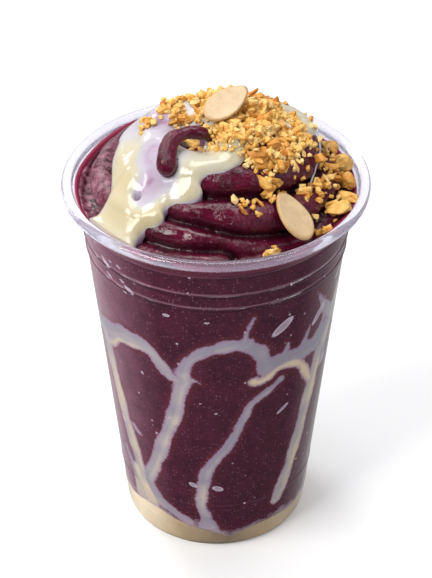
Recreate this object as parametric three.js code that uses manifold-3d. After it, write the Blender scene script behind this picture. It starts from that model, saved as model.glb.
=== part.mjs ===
// Soft acai sorbet piped into a clear plastic cup, with condensed milk run down the inside of the
// wall and over the top, a heap of crushed roasted nuts, larger nut pieces and two almond flakes.
// Millimetres, +Z up. The origin is the middle of the cup's foot, on the surface it stands on.
// Angles are measured round the cup from the front (-Y), positive towards the right (+X).

import * as THREE from "three";
import { mergeVertices } from "three/addons/utils/BufferGeometryUtils.js";
import Module from "manifold-3d";

const wasm = await Module();
wasm.setup();

// Cup
const cupHeight = 134;
const rimRadius = 49;
const beadRadius = 1.7;
const footRadius = 31.9;
const heelRadius = 3;
const wallTopZ = 125;
const wallTopRadius = 43.2;
const flareTopZ = 131.4;
const flareTopRadius = 45.7;
const wallThickness = 0.8;
const kickUpHeight = 2;
const kickUpRadius = 24;
const footRingRadius = 25.8;
const stackingRidges = [111.8, 117.2];
const footLines = [9.6, 20.8];
const ridgeHeight = 0.35;
const ridgeHalfWidth = 0.8;
const cupSegments = 48;

// Gap left between touching pieces, and how far the acai's side stays behind its milk streaks
const gap = 0.3;
const streakRelief = 0.6;
// Facets that lie within this distance of their neighbours' plane are joined with them
const flatness = 0.13;

// Piped swirl, wound inwards and upwards, clockwise seen from above. Each station is
// [turns from the front, distance from the axis, height, rope radius].
const swirlStations = [
  [0, 36, 124.5, 7],
  [0.45, 37, 124, 7],
  [0.8, 36, 126.5, 7],
  [0.92, 31.5, 126.5, 6.6],
  [1, 31.2, 129.3, 6.9],
  [1.25, 33, 130.6, 7.4],
  [1.55, 33, 131, 7.4],
  [1.8, 32.3, 130.8, 7.4],
  [2, 25.9, 134.8, 7.4],
  [2.25, 25.5, 137, 7.6],
  [2.5, 25.5, 138.8, 7.8],
  [2.75, 25.3, 140.8, 8],
  [2.9, 18.6, 141.8, 7.6],
  [3.1, 18.4, 142.8, 7.4],
  [3.4, 17.5, 145.6, 7.1],
  [3.7, 14.5, 147.6, 6.6],
  [3.92, 11.5, 149.2, 5.6],
];
const swirlTurns = 3.92;
const peak = { at: [2, 3, 150], radius: 8 };
const ropeSides = 9;
const stepsPerTurn = 18;
const segmentsPerTurn = 2;

// Acai level at the wall
const levelAtWall = 130.4;
const coreShoulderRadius = 35;
const coreShoulderZ = 127;
const corePeakZ = 149;

// Toppings
const heapThickness = 2.4;
const milkThickness = 1.5;
const almondLength = 17.5;
const almondWidth = 10;
const almondThickness = 1.5;

const acaiColor = 0x4a1c33;
const milkColor = 0xe9dcb4;
const nutColor = 0xe0b060;
const almondColor = 0xecd3a4;

const radians = THREE.MathUtils.degToRad;
const mix = THREE.MathUtils.lerp;
const smoothstep = THREE.MathUtils.smoothstep;

// Seeded draws, so that every build is the same.
function seeded(seed) {
  let state = seed;
  return () => {
    state = (state + 0x6d2b79f5) | 0;
    let t = Math.imul(state ^ (state >>> 15), 1 | state);
    t = (t + Math.imul(t ^ (t >>> 7), 61 | t)) ^ t;
    return ((t ^ (t >>> 14)) >>> 0) / 4294967296;
  };
}

// A point at an angle (degrees from the front), a distance from the axis and a height.
function polar(angle, radius, z) {
  return new THREE.Vector3(radius * Math.sin(radians(angle)), -radius * Math.cos(radians(angle)), z);
}

// Closed geometry to solid: vertices merged by position, collapsed triangles dropped.
function solidOf(geometry) {
  const bare = geometry.clone();
  for (const name of Object.keys(bare.attributes)) if (name !== "position") bare.deleteAttribute(name);
  const merged = mergeVertices(bare, 1e-3);
  const triangles = [];
  const index = merged.index.array;
  for (let i = 0; i < index.length; i += 3) {
    const [a, b, c] = [index[i], index[i + 1], index[i + 2]];
    if (a !== b && b !== c && a !== c) triangles.push(a, b, c);
  }
  const mesh = new wasm.Mesh({
    numProp: 3,
    vertProperties: merged.attributes.position.array,
    triVerts: new Uint32Array(triangles),
  });
  return new wasm.Manifold(mesh);
}

// The largest body of a solid, with the loose scraps that a cut leaves dropped.
function largest(solid) {
  return solid.decompose().sort((a, b) => b.volume() - a.volume())[0];
}

function meshOf(name, solid, color, roughness, options = {}) {
  const made = largest(solid.simplify(flatness)).getMesh();
  const positions = new Float32Array(made.numVert * 3);
  for (let i = 0; i < made.numVert; i++) {
    positions.set(made.vertProperties.subarray(i * made.numProp, i * made.numProp + 3), i * 3);
  }
  const geometry = new THREE.BufferGeometry()
    .setAttribute("position", new THREE.BufferAttribute(positions, 3))
    .setIndex(new THREE.BufferAttribute(made.triVerts, 1));
  geometry.computeVertexNormals();
  const material = new THREE.MeshStandardMaterial({ color, roughness, metalness: 0, ...options });
  const mesh = new THREE.Mesh(geometry, material);
  mesh.name = name;
  return mesh;
}

// A solid turned about Z whose outline may change with the angle. profileAt(angle) gives points
// [radius, z] from the axis at the bottom, out and up, to the axis at the top.
function turned(profileAt, segments) {
  const columns = Array.from({ length: segments }, (_, i) => profileAt((360 * i) / segments));
  const rings = columns[0].length;
  const positions = [];
  const push = (p) => positions.push(p.x, p.y, p.z);
  for (let i = 0; i < segments; i++) {
    const here = columns[i];
    const next = columns[(i + 1) % segments];
    const [a, b] = [(360 * i) / segments, (360 * (i + 1)) / segments];
    for (let k = 0; k + 1 < rings; k++) {
      const corners = [
        polar(a, ...here[k]),
        polar(b, ...next[k]),
        polar(b, ...next[k + 1]),
        polar(a, ...here[k + 1]),
      ];
      if (here[k][0] > 0) {
        push(corners[0]);
        push(corners[1]);
        push(corners[here[k + 1][0] > 0 ? 2 : 3]);
      }
      if (here[k + 1][0] > 0) {
        push(corners[0]);
        push(corners[2]);
        push(corners[3]);
      }
    }
  }
  const geometry = new THREE.BufferGeometry();
  geometry.setAttribute("position", new THREE.Float32BufferAttribute(positions, 3));
  return solidOf(geometry);
}

// Cup wall

function outerRadius(z) {
  if (z < heelRadius) {
    return footRadius - heelRadius + Math.sqrt(heelRadius ** 2 - (heelRadius - z) ** 2);
  }
  if (z < wallTopZ) {
    return mix(footRadius, wallTopRadius, (z - heelRadius) / (wallTopZ - heelRadius));
  }
  return mix(wallTopRadius, flareTopRadius, Math.min(1, (z - wallTopZ) / (flareTopZ - wallTopZ)));
}

function innerRadius(z) {
  if (z < heelRadius) {
    const inside = heelRadius - wallThickness;
    return footRadius - heelRadius + Math.sqrt(Math.max(0, inside ** 2 - (heelRadius - z) ** 2));
  }
  return outerRadius(z) - wallThickness;
}

// Height of the cup's inner floor: raised in the middle, low in the ring that it stands on.
function floorZ(radius) {
  const slope = (radius - kickUpRadius) / (footRingRadius - kickUpRadius);
  return wallThickness + kickUpHeight * (1 - THREE.MathUtils.clamp(slope, 0, 1));
}

function makeCup() {
  const outline = [
    [0, kickUpHeight],
    [kickUpRadius, kickUpHeight],
    [footRingRadius, 0],
    [footRadius - heelRadius, 0],
  ];
  for (const share of [0.3, 1]) {
    const z = heelRadius * share;
    outline.push([outerRadius(z), z]);
  }
  for (const z of footLines) {
    outline.push([outerRadius(z), z], [outerRadius(z) + ridgeHeight / 2, z + ridgeHalfWidth]);
  }
  for (const z of stackingRidges) {
    outline.push(
      [outerRadius(z - ridgeHalfWidth), z - ridgeHalfWidth],
      [outerRadius(z) + ridgeHeight, z],
      [outerRadius(z + ridgeHalfWidth), z + ridgeHalfWidth],
    );
  }
  outline.push([wallTopRadius, wallTopZ], [flareTopRadius, flareTopZ]);
  const beadCentre = [rimRadius - beadRadius, cupHeight - beadRadius];
  for (let degrees = -150; degrees <= 150; degrees += 60) {
    outline.push([
      beadCentre[0] + beadRadius * Math.cos(radians(degrees)),
      beadCentre[1] + beadRadius * Math.sin(radians(degrees)),
    ]);
  }
  outline.push(
    [innerRadius(flareTopZ), flareTopZ + wallThickness],
    [innerRadius(wallTopZ), wallTopZ],
    [innerRadius(heelRadius), heelRadius],
    [innerRadius(1.6), 1.6],
    [footRadius - heelRadius, wallThickness],
    [footRingRadius, floorZ(footRingRadius)],
    [kickUpRadius, floorZ(kickUpRadius)],
    [0, floorZ(0)],
  );
  const points = outline.map(([r, z]) => new THREE.Vector2(r, z));
  return solidOf(new THREE.LatheGeometry(points, cupSegments).rotateX(Math.PI / 2));
}

// Outline of the cup's inner floor and heel, held back from the plastic by inset.
function floorOutline(inset) {
  const slant = inset * Math.SQRT1_2;
  return [
    [0, floorZ(0) + inset],
    [kickUpRadius, floorZ(kickUpRadius) + inset],
    [footRingRadius, floorZ(footRingRadius) + inset],
    [footRadius - heelRadius, wallThickness + inset],
    [innerRadius(1.6) - slant, 1.6 + slant],
  ];
}

// The space inside the cup, going on upwards past the rim.
function makeCavity(inset, top = 190) {
  const side = [heelRadius, wallTopZ, flareTopZ, top].map((z) => [innerRadius(z) - inset, z]);
  return turned(() => [...floorOutline(inset), ...side, [0, top]], cupSegments);
}

// Condensed milk that has run down to the floor of the cup. Its top is highest at the left.

const poolMiddleZ = 9;

function poolTop(angle) {
  const waves = 1.6 * Math.cos(radians(3 * angle + 30)) + 0.9 * Math.cos(radians(7 * angle - 60));
  return 9.4 + 4.4 * Math.cos(radians(angle + 62)) + waves;
}

// Points of the milk's top from the wall in to the axis, raised by shift.
function poolSurface(angle, shift) {
  const top = poolTop(angle) + shift;
  const rim = innerRadius(top - shift) - gap;
  return [
    [rim, top],
    [rim * 0.6, mix(top, poolMiddleZ + shift, 0.7)],
    [0, poolMiddleZ + shift],
  ];
}

function makePool() {
  const heel = [innerRadius(heelRadius) - gap, heelRadius];
  return turned((angle) => [...floorOutline(gap), heel, ...poolSurface(angle, 0)], cupSegments);
}

// Everything at the level of that milk and below, out past the cup, for cutting the acai.
function underPool() {
  return turned((angle) => {
    const surface = poolSurface(angle, gap);
    return [[0, -5], [60, -5], [60, surface[0][1]], ...surface];
  }, cupSegments);
}

// Piped swirl

const swirlCurve = new THREE.CubicInterpolant(
  swirlStations.map(([turns]) => turns),
  swirlStations.flatMap(([, ...rest]) => rest),
  3,
);

// Centre line and radius of the rope of acai, at a number of turns in from the front.
function ropeAt(turns) {
  const [distance, z, radius] = swirlCurve.evaluate(THREE.MathUtils.clamp(turns, 0, swirlTurns));
  return { centre: polar(-360 * turns, distance, z), radius };
}

// The thin tail that the nozzle left, hooked over and lying down the front left of the mound.
const tailCurve = new THREE.CatmullRomCurve3([
  polar(15, 5, 150),
  polar(-18, 7.5, 154.5),
  polar(-39, 10.5, 156),
  polar(-42, 15.5, 155.2),
  polar(-38, 20.5, 152.3),
  polar(-33, 24, 149.6),
]);
const tailRadius = 2.7;

function tailAt(share) {
  const point = tailCurve.getPoint(THREE.MathUtils.clamp(share, 0, 1));
  return { centre: point, radius: tailRadius * mix(1.05, 0.9, share) };
}

// A closed rope from share a to share b of a path, with flat ends, or a round one at b.
function rope(pathAt, a, b, steps, sides, grow, roundEnd = false) {
  const rings = [];
  for (let i = 0; i <= steps; i++) {
    const share = mix(a, b, i / steps);
    const { centre, radius } = pathAt(share);
    const delta = Math.abs(b - a) * 1e-3;
    const tangent = pathAt(share + delta).centre.sub(pathAt(share - delta).centre).normalize();
    rings.push({ centre, radius: radius + grow, tangent });
  }
  if (roundEnd) {
    const last = rings[steps];
    for (const lean of [35, 65]) {
      rings.push({
        centre: last.centre.clone().addScaledVector(last.tangent, last.radius * Math.sin(radians(lean))),
        radius: last.radius * Math.cos(radians(lean)),
        tangent: last.tangent,
      });
    }
  }
  const up = new THREE.Vector3(0, 0, 1);
  const loops = rings.map(({ centre, radius, tangent }) => {
    const side = new THREE.Vector3().crossVectors(tangent, up).normalize();
    const crown = new THREE.Vector3().crossVectors(side, tangent);
    return Array.from({ length: sides }, (_, k) => {
      const turn = (2 * Math.PI * k) / sides;
      return centre
        .clone()
        .addScaledVector(side, radius * Math.cos(turn))
        .addScaledVector(crown, radius * Math.sin(turn));
    });
  });
  const positions = [];
  const face = (...points) => points.forEach((p) => positions.push(p.x, p.y, p.z));
  for (let i = 0; i + 1 < loops.length; i++) {
    for (let k = 0; k < sides; k++) {
      const n = (k + 1) % sides;
      face(loops[i][k], loops[i][n], loops[i + 1][n]);
      face(loops[i][k], loops[i + 1][n], loops[i + 1][k]);
    }
  }
  const final = loops.length - 1;
  for (let k = 0; k < sides; k++) {
    const n = (k + 1) % sides;
    face(rings[0].centre, loops[0][n], loops[0][k]);
    face(rings[final].centre, loops[final][k], loops[final][n]);
  }
  const geometry = new THREE.BufferGeometry();
  geometry.setAttribute("position", new THREE.Float32BufferAttribute(positions, 3));
  const made = solidOf(geometry);
  return made.volume() < 0 ? solidOf(flipped(geometry)) : made;
}

function flipped(geometry) {
  const p = geometry.attributes.position;
  const out = [];
  for (let i = 0; i < p.count; i += 3) {
    for (const j of [i, i + 2, i + 1]) out.push(p.getX(j), p.getY(j), p.getZ(j));
  }
  return new THREE.BufferGeometry().setAttribute("position", new THREE.Float32BufferAttribute(out, 3));
}

// The mound of acai with every surface moved out by grow: a body that fills the cup, and on it the
// rope, one closed length for each half turn, and the tail.
function makeMound(grow, withTail = true) {
  const inset = gap + streakRelief - grow;
  const body = turned((angle) => {
    const level = levelAtWall + 0.8 * Math.sin(radians(2 * angle + 40)) + grow;
    return [
      [0, 1],
      ...[1, wallTopZ, level].map((z) => [innerRadius(Math.max(z, heelRadius)) - inset, z]),
      [coreShoulderRadius, coreShoulderZ + grow],
      [0, corePeakZ + grow],
    ];
  }, cupSegments);
  const pieces = [body];
  const lengths = Math.round(swirlTurns * segmentsPerTurn);
  for (let i = 0; i < lengths; i++) {
    const [a, b] = [(swirlTurns * i) / lengths, (swirlTurns * (i + 1)) / lengths];
    const steps = Math.max(4, Math.round((stepsPerTurn / segmentsPerTurn) * (1 - 0.45 * (i / lengths))));
    pieces.push(rope(ropeAt, a, b, steps, ropeSides, grow, i === lengths - 1));
  }
  const top = new THREE.IcosahedronGeometry(peak.radius + grow, 2).rotateX(0.2);
  pieces.push(solidOf(top.translate(...peak.at)));
  if (withTail) pieces.push(rope(tailAt, 0, 1, 9, 8, grow, true));
  return wasm.Manifold.union(pieces);
}

// Height of the mound's surface over a point, from spheres along the rope.
const ropeBeads = [];
for (let turns = 0; turns <= swirlTurns; turns += 0.01) ropeBeads.push(ropeAt(turns));
for (let share = 0; share <= 1; share += 0.05) ropeBeads.push(tailAt(share));
ropeBeads.push({ centre: new THREE.Vector3(...peak.at), radius: peak.radius });

function surfaceZ(x, y) {
  const radius = Math.hypot(x, y);
  const slope = THREE.MathUtils.clamp((radius - coreShoulderRadius) / (42 - coreShoulderRadius), 0, 1);
  let best = mix(coreShoulderZ, levelAtWall, slope);
  for (const bead of ropeBeads) {
    const d2 = (x - bead.centre.x) ** 2 + (y - bead.centre.y) ** 2;
    if (d2 < bead.radius ** 2) best = Math.max(best, bead.centre.z + Math.sqrt(bead.radius ** 2 - d2));
  }
  return best;
}

// Surface height averaged over a small circle, as something thick or loose lies on it.
function restZ(x, y, reach) {
  let sum = surfaceZ(x, y);
  for (let k = 0; k < 8; k++) {
    sum += surfaceZ(x + reach * Math.cos((k * Math.PI) / 4), y + reach * Math.sin((k * Math.PI) / 4));
  }
  return Math.max(sum / 9, surfaceZ(x, y) - 1);
}

// Condensed milk run down the inside of the wall

// Each streak is [half width, [angle, z], ...], as it shows through the front of the cup.
const frontStreaks = [
  [2.3, [-80, 80], [-66, 84], [-45, 91], [-33, 90], [-24, 83], [-15, 80]],
  [1.2, [-65, 84], [-64, 62], [-52, 43], [-44, 26], [-42, 12]],
  [2.5, [-14, 82], [-19, 72], [-26, 57], [-35, 38], [-42, 30]],
  [1.5, [-14, 82], [-10, 92], [2, 96], [14, 97.5], [16, 106]],
  [2.0, [13, 97], [23, 91], [24, 82], [38, 81], [50, 79], [62, 86]],
  [1.4, [60, 84], [58, 70], [53, 46], [46, 30], [39, 16]],
  [1.6, [33, 78], [18, 69], [9, 54], [-4, 39], [-8, 28], [-9, 8]],
];
// The back of the cup carries some of the same runs, turned round by these angles.
const backTurns = [176, 168, 0, 0, 0, 180, 0];

// A ring of flat facets comes this much nearer to the axis than a round one.
const facetShare = Math.cos(Math.PI / cupSegments);

function makeStreak([halfWidth, ...route], turn, mirror) {
  const depth = 1.1;
  const curve = new THREE.CatmullRomCurve3(
    route.map(([angle, z]) => new THREE.Vector3((mirror * angle + turn) * 0.7, 0, z)),
  );
  const steps = Math.max(3, Math.round(curve.getLength() / 12));
  const sections = [];
  for (let i = 0; i <= steps; i++) {
    const here = curve.getPointAt(i / steps);
    const ahead = curve.getTangentAt(i / steps);
    const waver = 1 + 0.22 * Math.sin(2.3 * i + turn);
    sections.push({ angle: here.x / 0.7, z: here.z, across: [-ahead.z, ahead.x], half: halfWidth * waver });
  }
  const corners = [
    [-1, 0],
    [-0.6, 1],
    [0.6, 1],
    [1, 0],
    [0.6, -1],
    [-0.6, -1],
  ];
  const loops = sections.map(({ angle, z, across, half }) =>
    corners.map(([along, out]) => {
      const height = z + along * half * across[1];
      const middle = innerRadius(height) * facetShare - gap - depth;
      const sweep = THREE.MathUtils.radToDeg((along * half * across[0]) / middle);
      return polar(angle + sweep, middle + depth * out, height);
    }),
  );
  const positions = [];
  const face = (...points) => points.forEach((p) => positions.push(p.x, p.y, p.z));
  const sides = corners.length;
  for (let i = 0; i < steps; i++) {
    for (let k = 0; k < sides; k++) {
      const n = (k + 1) % sides;
      face(loops[i][k], loops[i][n], loops[i + 1][n]);
      face(loops[i][k], loops[i + 1][n], loops[i + 1][k]);
    }
  }
  for (let k = 1; k + 1 < sides; k++) {
    face(loops[0][0], loops[0][k + 1], loops[0][k]);
    face(loops[steps][0], loops[steps][k], loops[steps][k + 1]);
  }
  const geometry = new THREE.BufferGeometry();
  geometry.setAttribute("position", new THREE.Float32BufferAttribute(positions, 3));
  const made = solidOf(geometry);
  return made.volume() < 0 ? solidOf(flipped(geometry)) : made;
}

// Nut pieces

// An angular crumb: a block with its corners pushed in and out.
function crumb(random, size, place, stretch = 1) {
  const block = new THREE.BoxGeometry(size * stretch, size * 0.85, size * 0.75);
  for (const name of ["normal", "uv"]) block.deleteAttribute(name);
  const merged = mergeVertices(block, 1e-3);
  const p = merged.attributes.position;
  for (let i = 0; i < p.count; i++) {
    const push = 0.7 + 0.45 * random();
    p.setXYZ(i, p.getX(i) * push, p.getY(i) * (0.7 + 0.45 * random()), p.getZ(i) * push);
  }
  merged.rotateX(random() * 1.2 - 0.6);
  merged.rotateZ(random() * 2 * Math.PI);
  merged.translate(place.x, place.y, place.z);
  return solidOf(merged);
}

// A larger piece of nut: a lumpy rounded body, its length turned to a direction.
function chunk(random, [length, width, height], direction, place) {
  const ball = new THREE.IcosahedronGeometry(1, 1);
  for (const name of ["normal", "uv"]) ball.deleteAttribute(name);
  const merged = mergeVertices(ball, 1e-3);
  const p = merged.attributes.position;
  for (let i = 0; i < p.count; i++) {
    const push = 0.44 + 0.12 * random();
    p.setXYZ(i, p.getX(i) * length * push, p.getY(i) * width * push, p.getZ(i) * height * push);
  }
  merged.rotateZ(radians(direction)).translate(place.x, place.y, place.z);
  return solidOf(merged);
}

// Outlines seen from above: closed curves through a few points, each [angle, distance].
const milkOutline = [
  [-35, 44],
  [-36, 38],
  [-28, 33],
  [-19, 29],
  [-10, 24],
  [6, 21.3],
  [32, 17],
  [60, 8],
  [170, 8],
  [-140, 20],
  [-133, 28.5],
  [-112, 32.5],
  [-86, 31.5],
  [-64, 36],
  [-61, 44],
];
const backMilkOutline = [
  [90, 29],
  [100, 32],
  [118, 31.5],
  [140, 29.5],
  [150, 24],
  [120, 19],
  [95, 22],
];
const heapOutline = [
  [-90, 20],
  [-62, 18.5],
  [-38, 10],
  [-10, 9.5],
  [18, 15],
  [42, 21.5],
  [62, 25],
  [78, 27.5],
  [94, 25],
  [115, 21.5],
  [138, 21],
  [165, 20],
  [-155, 19],
  [-120, 19],
];

// Upright column on a closed outline, moved out by grow.
function column(outline, grow) {
  const curve = new THREE.CatmullRomCurve3(outline.map(([angle, distance]) => polar(angle, distance, 0)), true);
  const count = outline.length * 3;
  const middle = new THREE.Vector3();
  for (const [angle, distance] of outline) middle.add(polar(angle, distance, 0).divideScalar(outline.length));
  const shape = new THREE.Shape();
  for (let k = 0; k < count; k++) {
    const point = curve.getPoint(k / count);
    const ahead = curve.getTangent(k / count);
    const side = Math.sign(ahead.x * (point.y - middle.y) - ahead.y * (point.x - middle.x));
    point.add(new THREE.Vector3(-ahead.y, ahead.x, 0).multiplyScalar(side * grow));
    if (k === 0) shape.moveTo(point.x, point.y);
    else shape.lineTo(point.x, point.y);
  }
  return solidOf(new THREE.ExtrudeGeometry(shape, { depth: 80, bevelEnabled: false }).translate(0, 0, 110));
}

function inside(outline, x, y, margin) {
  const ray = new THREE.Vector2(x, y);
  let hits = 0;
  const spots = outline.map(([angle, distance]) => polar(angle, distance, 0));
  let nearest = 1e9;
  spots.forEach((p, k) => {
    const q = spots[(k + 1) % spots.length];
    if (p.y > y !== q.y > y && x < ((q.x - p.x) * (y - p.y)) / (q.y - p.y) + p.x) hits++;
    const line = new THREE.Line3(p, q);
    const near = line.closestPointToPoint(new THREE.Vector3(ray.x, ray.y, 0), true, new THREE.Vector3());
    nearest = Math.min(nearest, Math.hypot(near.x - x, near.y - y));
  });
  return (hits % 2 ? nearest : -nearest) > margin;
}

// A coat of even thickness on the mound, within an upright column.
function coat(thickness, within) {
  return makeMound(gap + thickness, false).intersect(within).subtract(moundGrown);
}

// A flat flake of almond, an egg-shaped slice, from its wide end at a to its narrow end at b.
function almondFlake(a, b, facing, grow) {
  const outline = new THREE.Shape();
  const count = 16;
  for (let k = 0; k < count; k++) {
    const turn = (2 * Math.PI * k) / count;
    const along = Math.cos(turn) * (almondLength / 2 + grow);
    const taper = 1 - 0.22 * Math.cos(turn) - 0.05 * Math.cos(2 * turn);
    const across = Math.sin(turn) * taper * (almondWidth / 2 + grow);
    if (k === 0) outline.moveTo(along, across);
    else outline.lineTo(along, across);
  }
  const bevel = 0.35;
  const geometry = new THREE.ExtrudeGeometry(outline, {
    depth: almondThickness + 2 * grow - 2 * bevel,
    bevelEnabled: true,
    bevelThickness: bevel,
    bevelSize: bevel,
    bevelOffset: -bevel,
    bevelSegments: 1,
  }).translate(0, 0, bevel - grow);
  const along = b.clone().sub(a).normalize();
  const face = facing.clone().addScaledVector(along, -facing.dot(along)).normalize();
  const across = new THREE.Vector3().crossVectors(face, along);
  const middle = a.clone().add(b).multiplyScalar(0.5);
  geometry.applyMatrix4(new THREE.Matrix4().makeBasis(along, across, face).setPosition(middle));
  return solidOf(geometry);
}

// Crumbs by seeded draws, largest first. spotFor(random) proposes a place, and free(spot, size)
// says whether a crumb of that size may lie there.
function crumbs(seed, count, sizes, spotFor, free) {
  const random = seeded(seed);
  const made = [];
  for (let tries = 0; made.length < count && tries < 40 * count; tries++) {
    const size = mix(sizes[0], sizes[1], (made.length / count) ** 0.6);
    const spot = spotFor(random);
    if (free(spot, size)) made.push(crumb(random, size, spot, random() < 0.3 ? 1.6 : 1));
  }
  return made;
}

// How far a loose piece has to rise until it sinks into what is under it by no more than allowed
// (cubic millimetres).
function liftFor(piece, under, allowed) {
  let lift = 0;
  while (lift < 16 && piece.translate([0, 0, lift]).intersect(under).volume() > allowed) lift += 0.4;
  return lift;
}

// Assembly

const cavity = makeCavity(gap);
const mound = makeMound(0);
const moundGrown = makeMound(gap);
const streaks = frontStreaks.map((streak) => makeStreak(streak, 0, 1));
backTurns.forEach((turn, i) => turn && streaks.push(makeStreak(frontStreaks[i], turn, -1)));

const almondSpots = [
  [polar(44, 28, 139.5), polar(39.5, 43, 131), polar(60, 1, 1.3)],
  [new THREE.Vector3(-2.8, -5.4, 160), new THREE.Vector3(9.2, 5.8, 164), new THREE.Vector3(0.2, -0.5, 1)],
];

// Larger pieces of nut along the right of the rim:
// [angle, distance, length, width, height, direction of the length from +X].
const largeNuts = [
  [117, 40.2, 6.4, 5, 5, 60],
  [103, 40, 8.6, 7, 6, 10],
  [89, 40.3, 6.4, 6, 6.6, 80],
  [78, 40, 7.6, 3.8, 3.6, -28],
  [67, 39.6, 8.8, 5.4, 4.8, 6],
  [54, 40.4, 5.2, 4.6, 4.4, 30],
];

// Where single crumbs lie on the acai itself: [angle, distance, spread].
const strewnPatches = [
  [46, 26, 5],
  [26, 28, 5],
  [62, 32, 7],
  [60, 34, 8],
  [85, 34, 6],
  [27, 39, 4],
];

function nearLargeNut(spot, size) {
  return largeNuts.some(([angle, distance, length]) => {
    const nut = polar(angle, distance, 0);
    return Math.hypot(nut.x - spot.x, nut.y - spot.y) < 0.6 * (length + size) + gap;
  });
}

function nearAlmond(spot, size) {
  const [a, b] = almondSpots[0];
  const line = new THREE.Line3(a.clone().setZ(0), b.clone().setZ(0));
  const near = line.closestPointToPoint(new THREE.Vector3(spot.x, spot.y, 0), true, new THREE.Vector3());
  return Math.hypot(near.x - spot.x, near.y - spot.y) < almondWidth / 2 + size;
}

const onAcai = crumbs(
  11,
  24,
  [3.8, 2.2],
  (random) => {
    const [angle, distance, spread] = strewnPatches[Math.floor(random() * strewnPatches.length)];
    const spot = polar(360 * random(), spread * Math.sqrt(random()), 0).add(polar(angle, distance, 0));
    spot.z = surfaceZ(spot.x, spot.y);
    return spot;
  },
  (spot, size) =>
    Math.hypot(spot.x, spot.y) < 42.5 - size / 2 &&
    [heapOutline, milkOutline, backMilkOutline].every((edge) => !inside(edge, spot.x, spot.y, -0.7 * size)) &&
    !nearLargeNut(spot, size) &&
    !nearAlmond(spot, size),
);
const filling = wasm.Manifold.union([mound.intersect(cavity), ...streaks]);
const covered = [heapOutline, milkOutline, backMilkOutline].map((outline) => column(outline, gap));
const strewn = wasm.Manifold.union(onAcai).subtract(wasm.Manifold.union(covered)).intersect(cavity);
const acai = largest(filling.subtract(underPool()).add(strewn));

const heapCrumbs = crumbs(
  5,
  45,
  [5, 2.9],
  (random) => {
    const spot = polar(360 * random(), 27 * Math.sqrt(random()), 0).add(new THREE.Vector3(3, 3, 0));
    spot.z = surfaceZ(spot.x, spot.y) + gap + heapThickness;
    return spot;
  },
  (spot, size) => inside(heapOutline, spot.x, spot.y, 0.45 * size),
);
const heapTop = makeMound(gap + heapThickness, false).add(wasm.Manifold.union(heapCrumbs));
const nutHeap = largest(heapTop.intersect(column(heapOutline, 0)).subtract(moundGrown));
const [sideLift, topLift] = almondSpots.map((spots) => {
  const flake = almondFlake(...spots, 0);
  return Math.max(liftFor(flake, moundGrown, 20), liftFor(flake, nutHeap, 25));
});
const sideAlmond = almondFlake(...almondSpots[0], 0).translate([0, 0, sideLift]).subtract(moundGrown);
const topAlmond = almondFlake(...almondSpots[1], 0).translate([0, 0, topLift]).subtract(moundGrown);
const heapUnderAlmond = nutHeap.subtract(almondFlake(...almondSpots[1], gap).translate([0, 0, topLift]));

function milkIn(outline) {
  const within = column(outline, 0).intersect(cavity).subtract(column(heapOutline, gap));
  return largest(coat(milkThickness, within));
}

const nuts = largeNuts.map(([angle, distance, length, width, height, direction], i) => {
  const nut = chunk(seeded(40 + i), [length, width, height], direction, polar(angle, distance, 130));
  return largest(nut.translate([0, 0, liftFor(nut, moundGrown, 6)]).subtract(moundGrown).intersect(cavity));
});

const group = new THREE.Group();
group.add(
  meshOf("cup", makeCup(), 0xf2f2f6, 0.08, { transparent: true, opacity: 0.3 }),
  meshOf("milk_pool", makePool(), milkColor, 0.3),
  meshOf("acai", acai, acaiColor, 0.4),
  meshOf("milk_on_top", milkIn(milkOutline), milkColor, 0.25),
  meshOf("milk_at_back", milkIn(backMilkOutline), milkColor, 0.25),
  meshOf("nut_heap", heapUnderAlmond, nutColor, 0.6),
  meshOf("almond_side", sideAlmond, almondColor, 0.6),
  meshOf("almond_top", topAlmond, almondColor, 0.6),
);
nuts.forEach((nut, i) => group.add(meshOf(`nut_${i + 1}`, nut, nutColor, 0.6)));

export default group;
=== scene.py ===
# %% [markdown]
# # A tall clear cup of piped acai
#
# The real thing is a thin clear plastic cup, filled with dark purple acai sorbet from a piping
# nozzle. Condensed milk was run down the inside of the wall before the cup was filled, and more
# was poured over the top. Crushed roasted nuts, some larger pieces of nut and two flakes of
# almond lie on the swirl.
#
# We work in millimetres, because that is how a maker thinks of a cup, and multiply by MM once,
# when a mesh is made. Angles are measured round the cup from the front, positive to the right.

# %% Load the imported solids
import math
import bmesh
import bpy
import numpy as np
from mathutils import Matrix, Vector


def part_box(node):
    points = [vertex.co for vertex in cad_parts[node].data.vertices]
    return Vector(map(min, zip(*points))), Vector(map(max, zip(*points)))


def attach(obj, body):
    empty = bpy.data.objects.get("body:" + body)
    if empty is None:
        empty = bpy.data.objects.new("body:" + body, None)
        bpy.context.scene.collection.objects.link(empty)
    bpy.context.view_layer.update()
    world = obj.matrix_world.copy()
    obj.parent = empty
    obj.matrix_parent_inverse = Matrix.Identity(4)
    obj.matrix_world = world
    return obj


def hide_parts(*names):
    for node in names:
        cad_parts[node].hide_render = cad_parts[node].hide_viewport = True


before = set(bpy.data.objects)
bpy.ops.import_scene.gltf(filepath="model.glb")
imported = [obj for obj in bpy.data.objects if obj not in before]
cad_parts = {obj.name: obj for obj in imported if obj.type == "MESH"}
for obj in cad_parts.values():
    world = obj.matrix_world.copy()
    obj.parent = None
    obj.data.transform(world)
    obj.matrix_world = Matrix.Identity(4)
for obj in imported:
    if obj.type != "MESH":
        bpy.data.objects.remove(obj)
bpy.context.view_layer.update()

MM = 0.001
scene = bpy.context.scene
print("solids:", sorted(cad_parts))

# %% [markdown]
# ## Tools for surfaces
#
# Nearly every piece here is a grid of points that closes on itself. A grid needs only its faces
# listed once, so one helper makes the faces and another turns arrays into a finished piece.
# Seeded value noise gives food its unevenness: random numbers on a lattice, blended smoothly.

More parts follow.
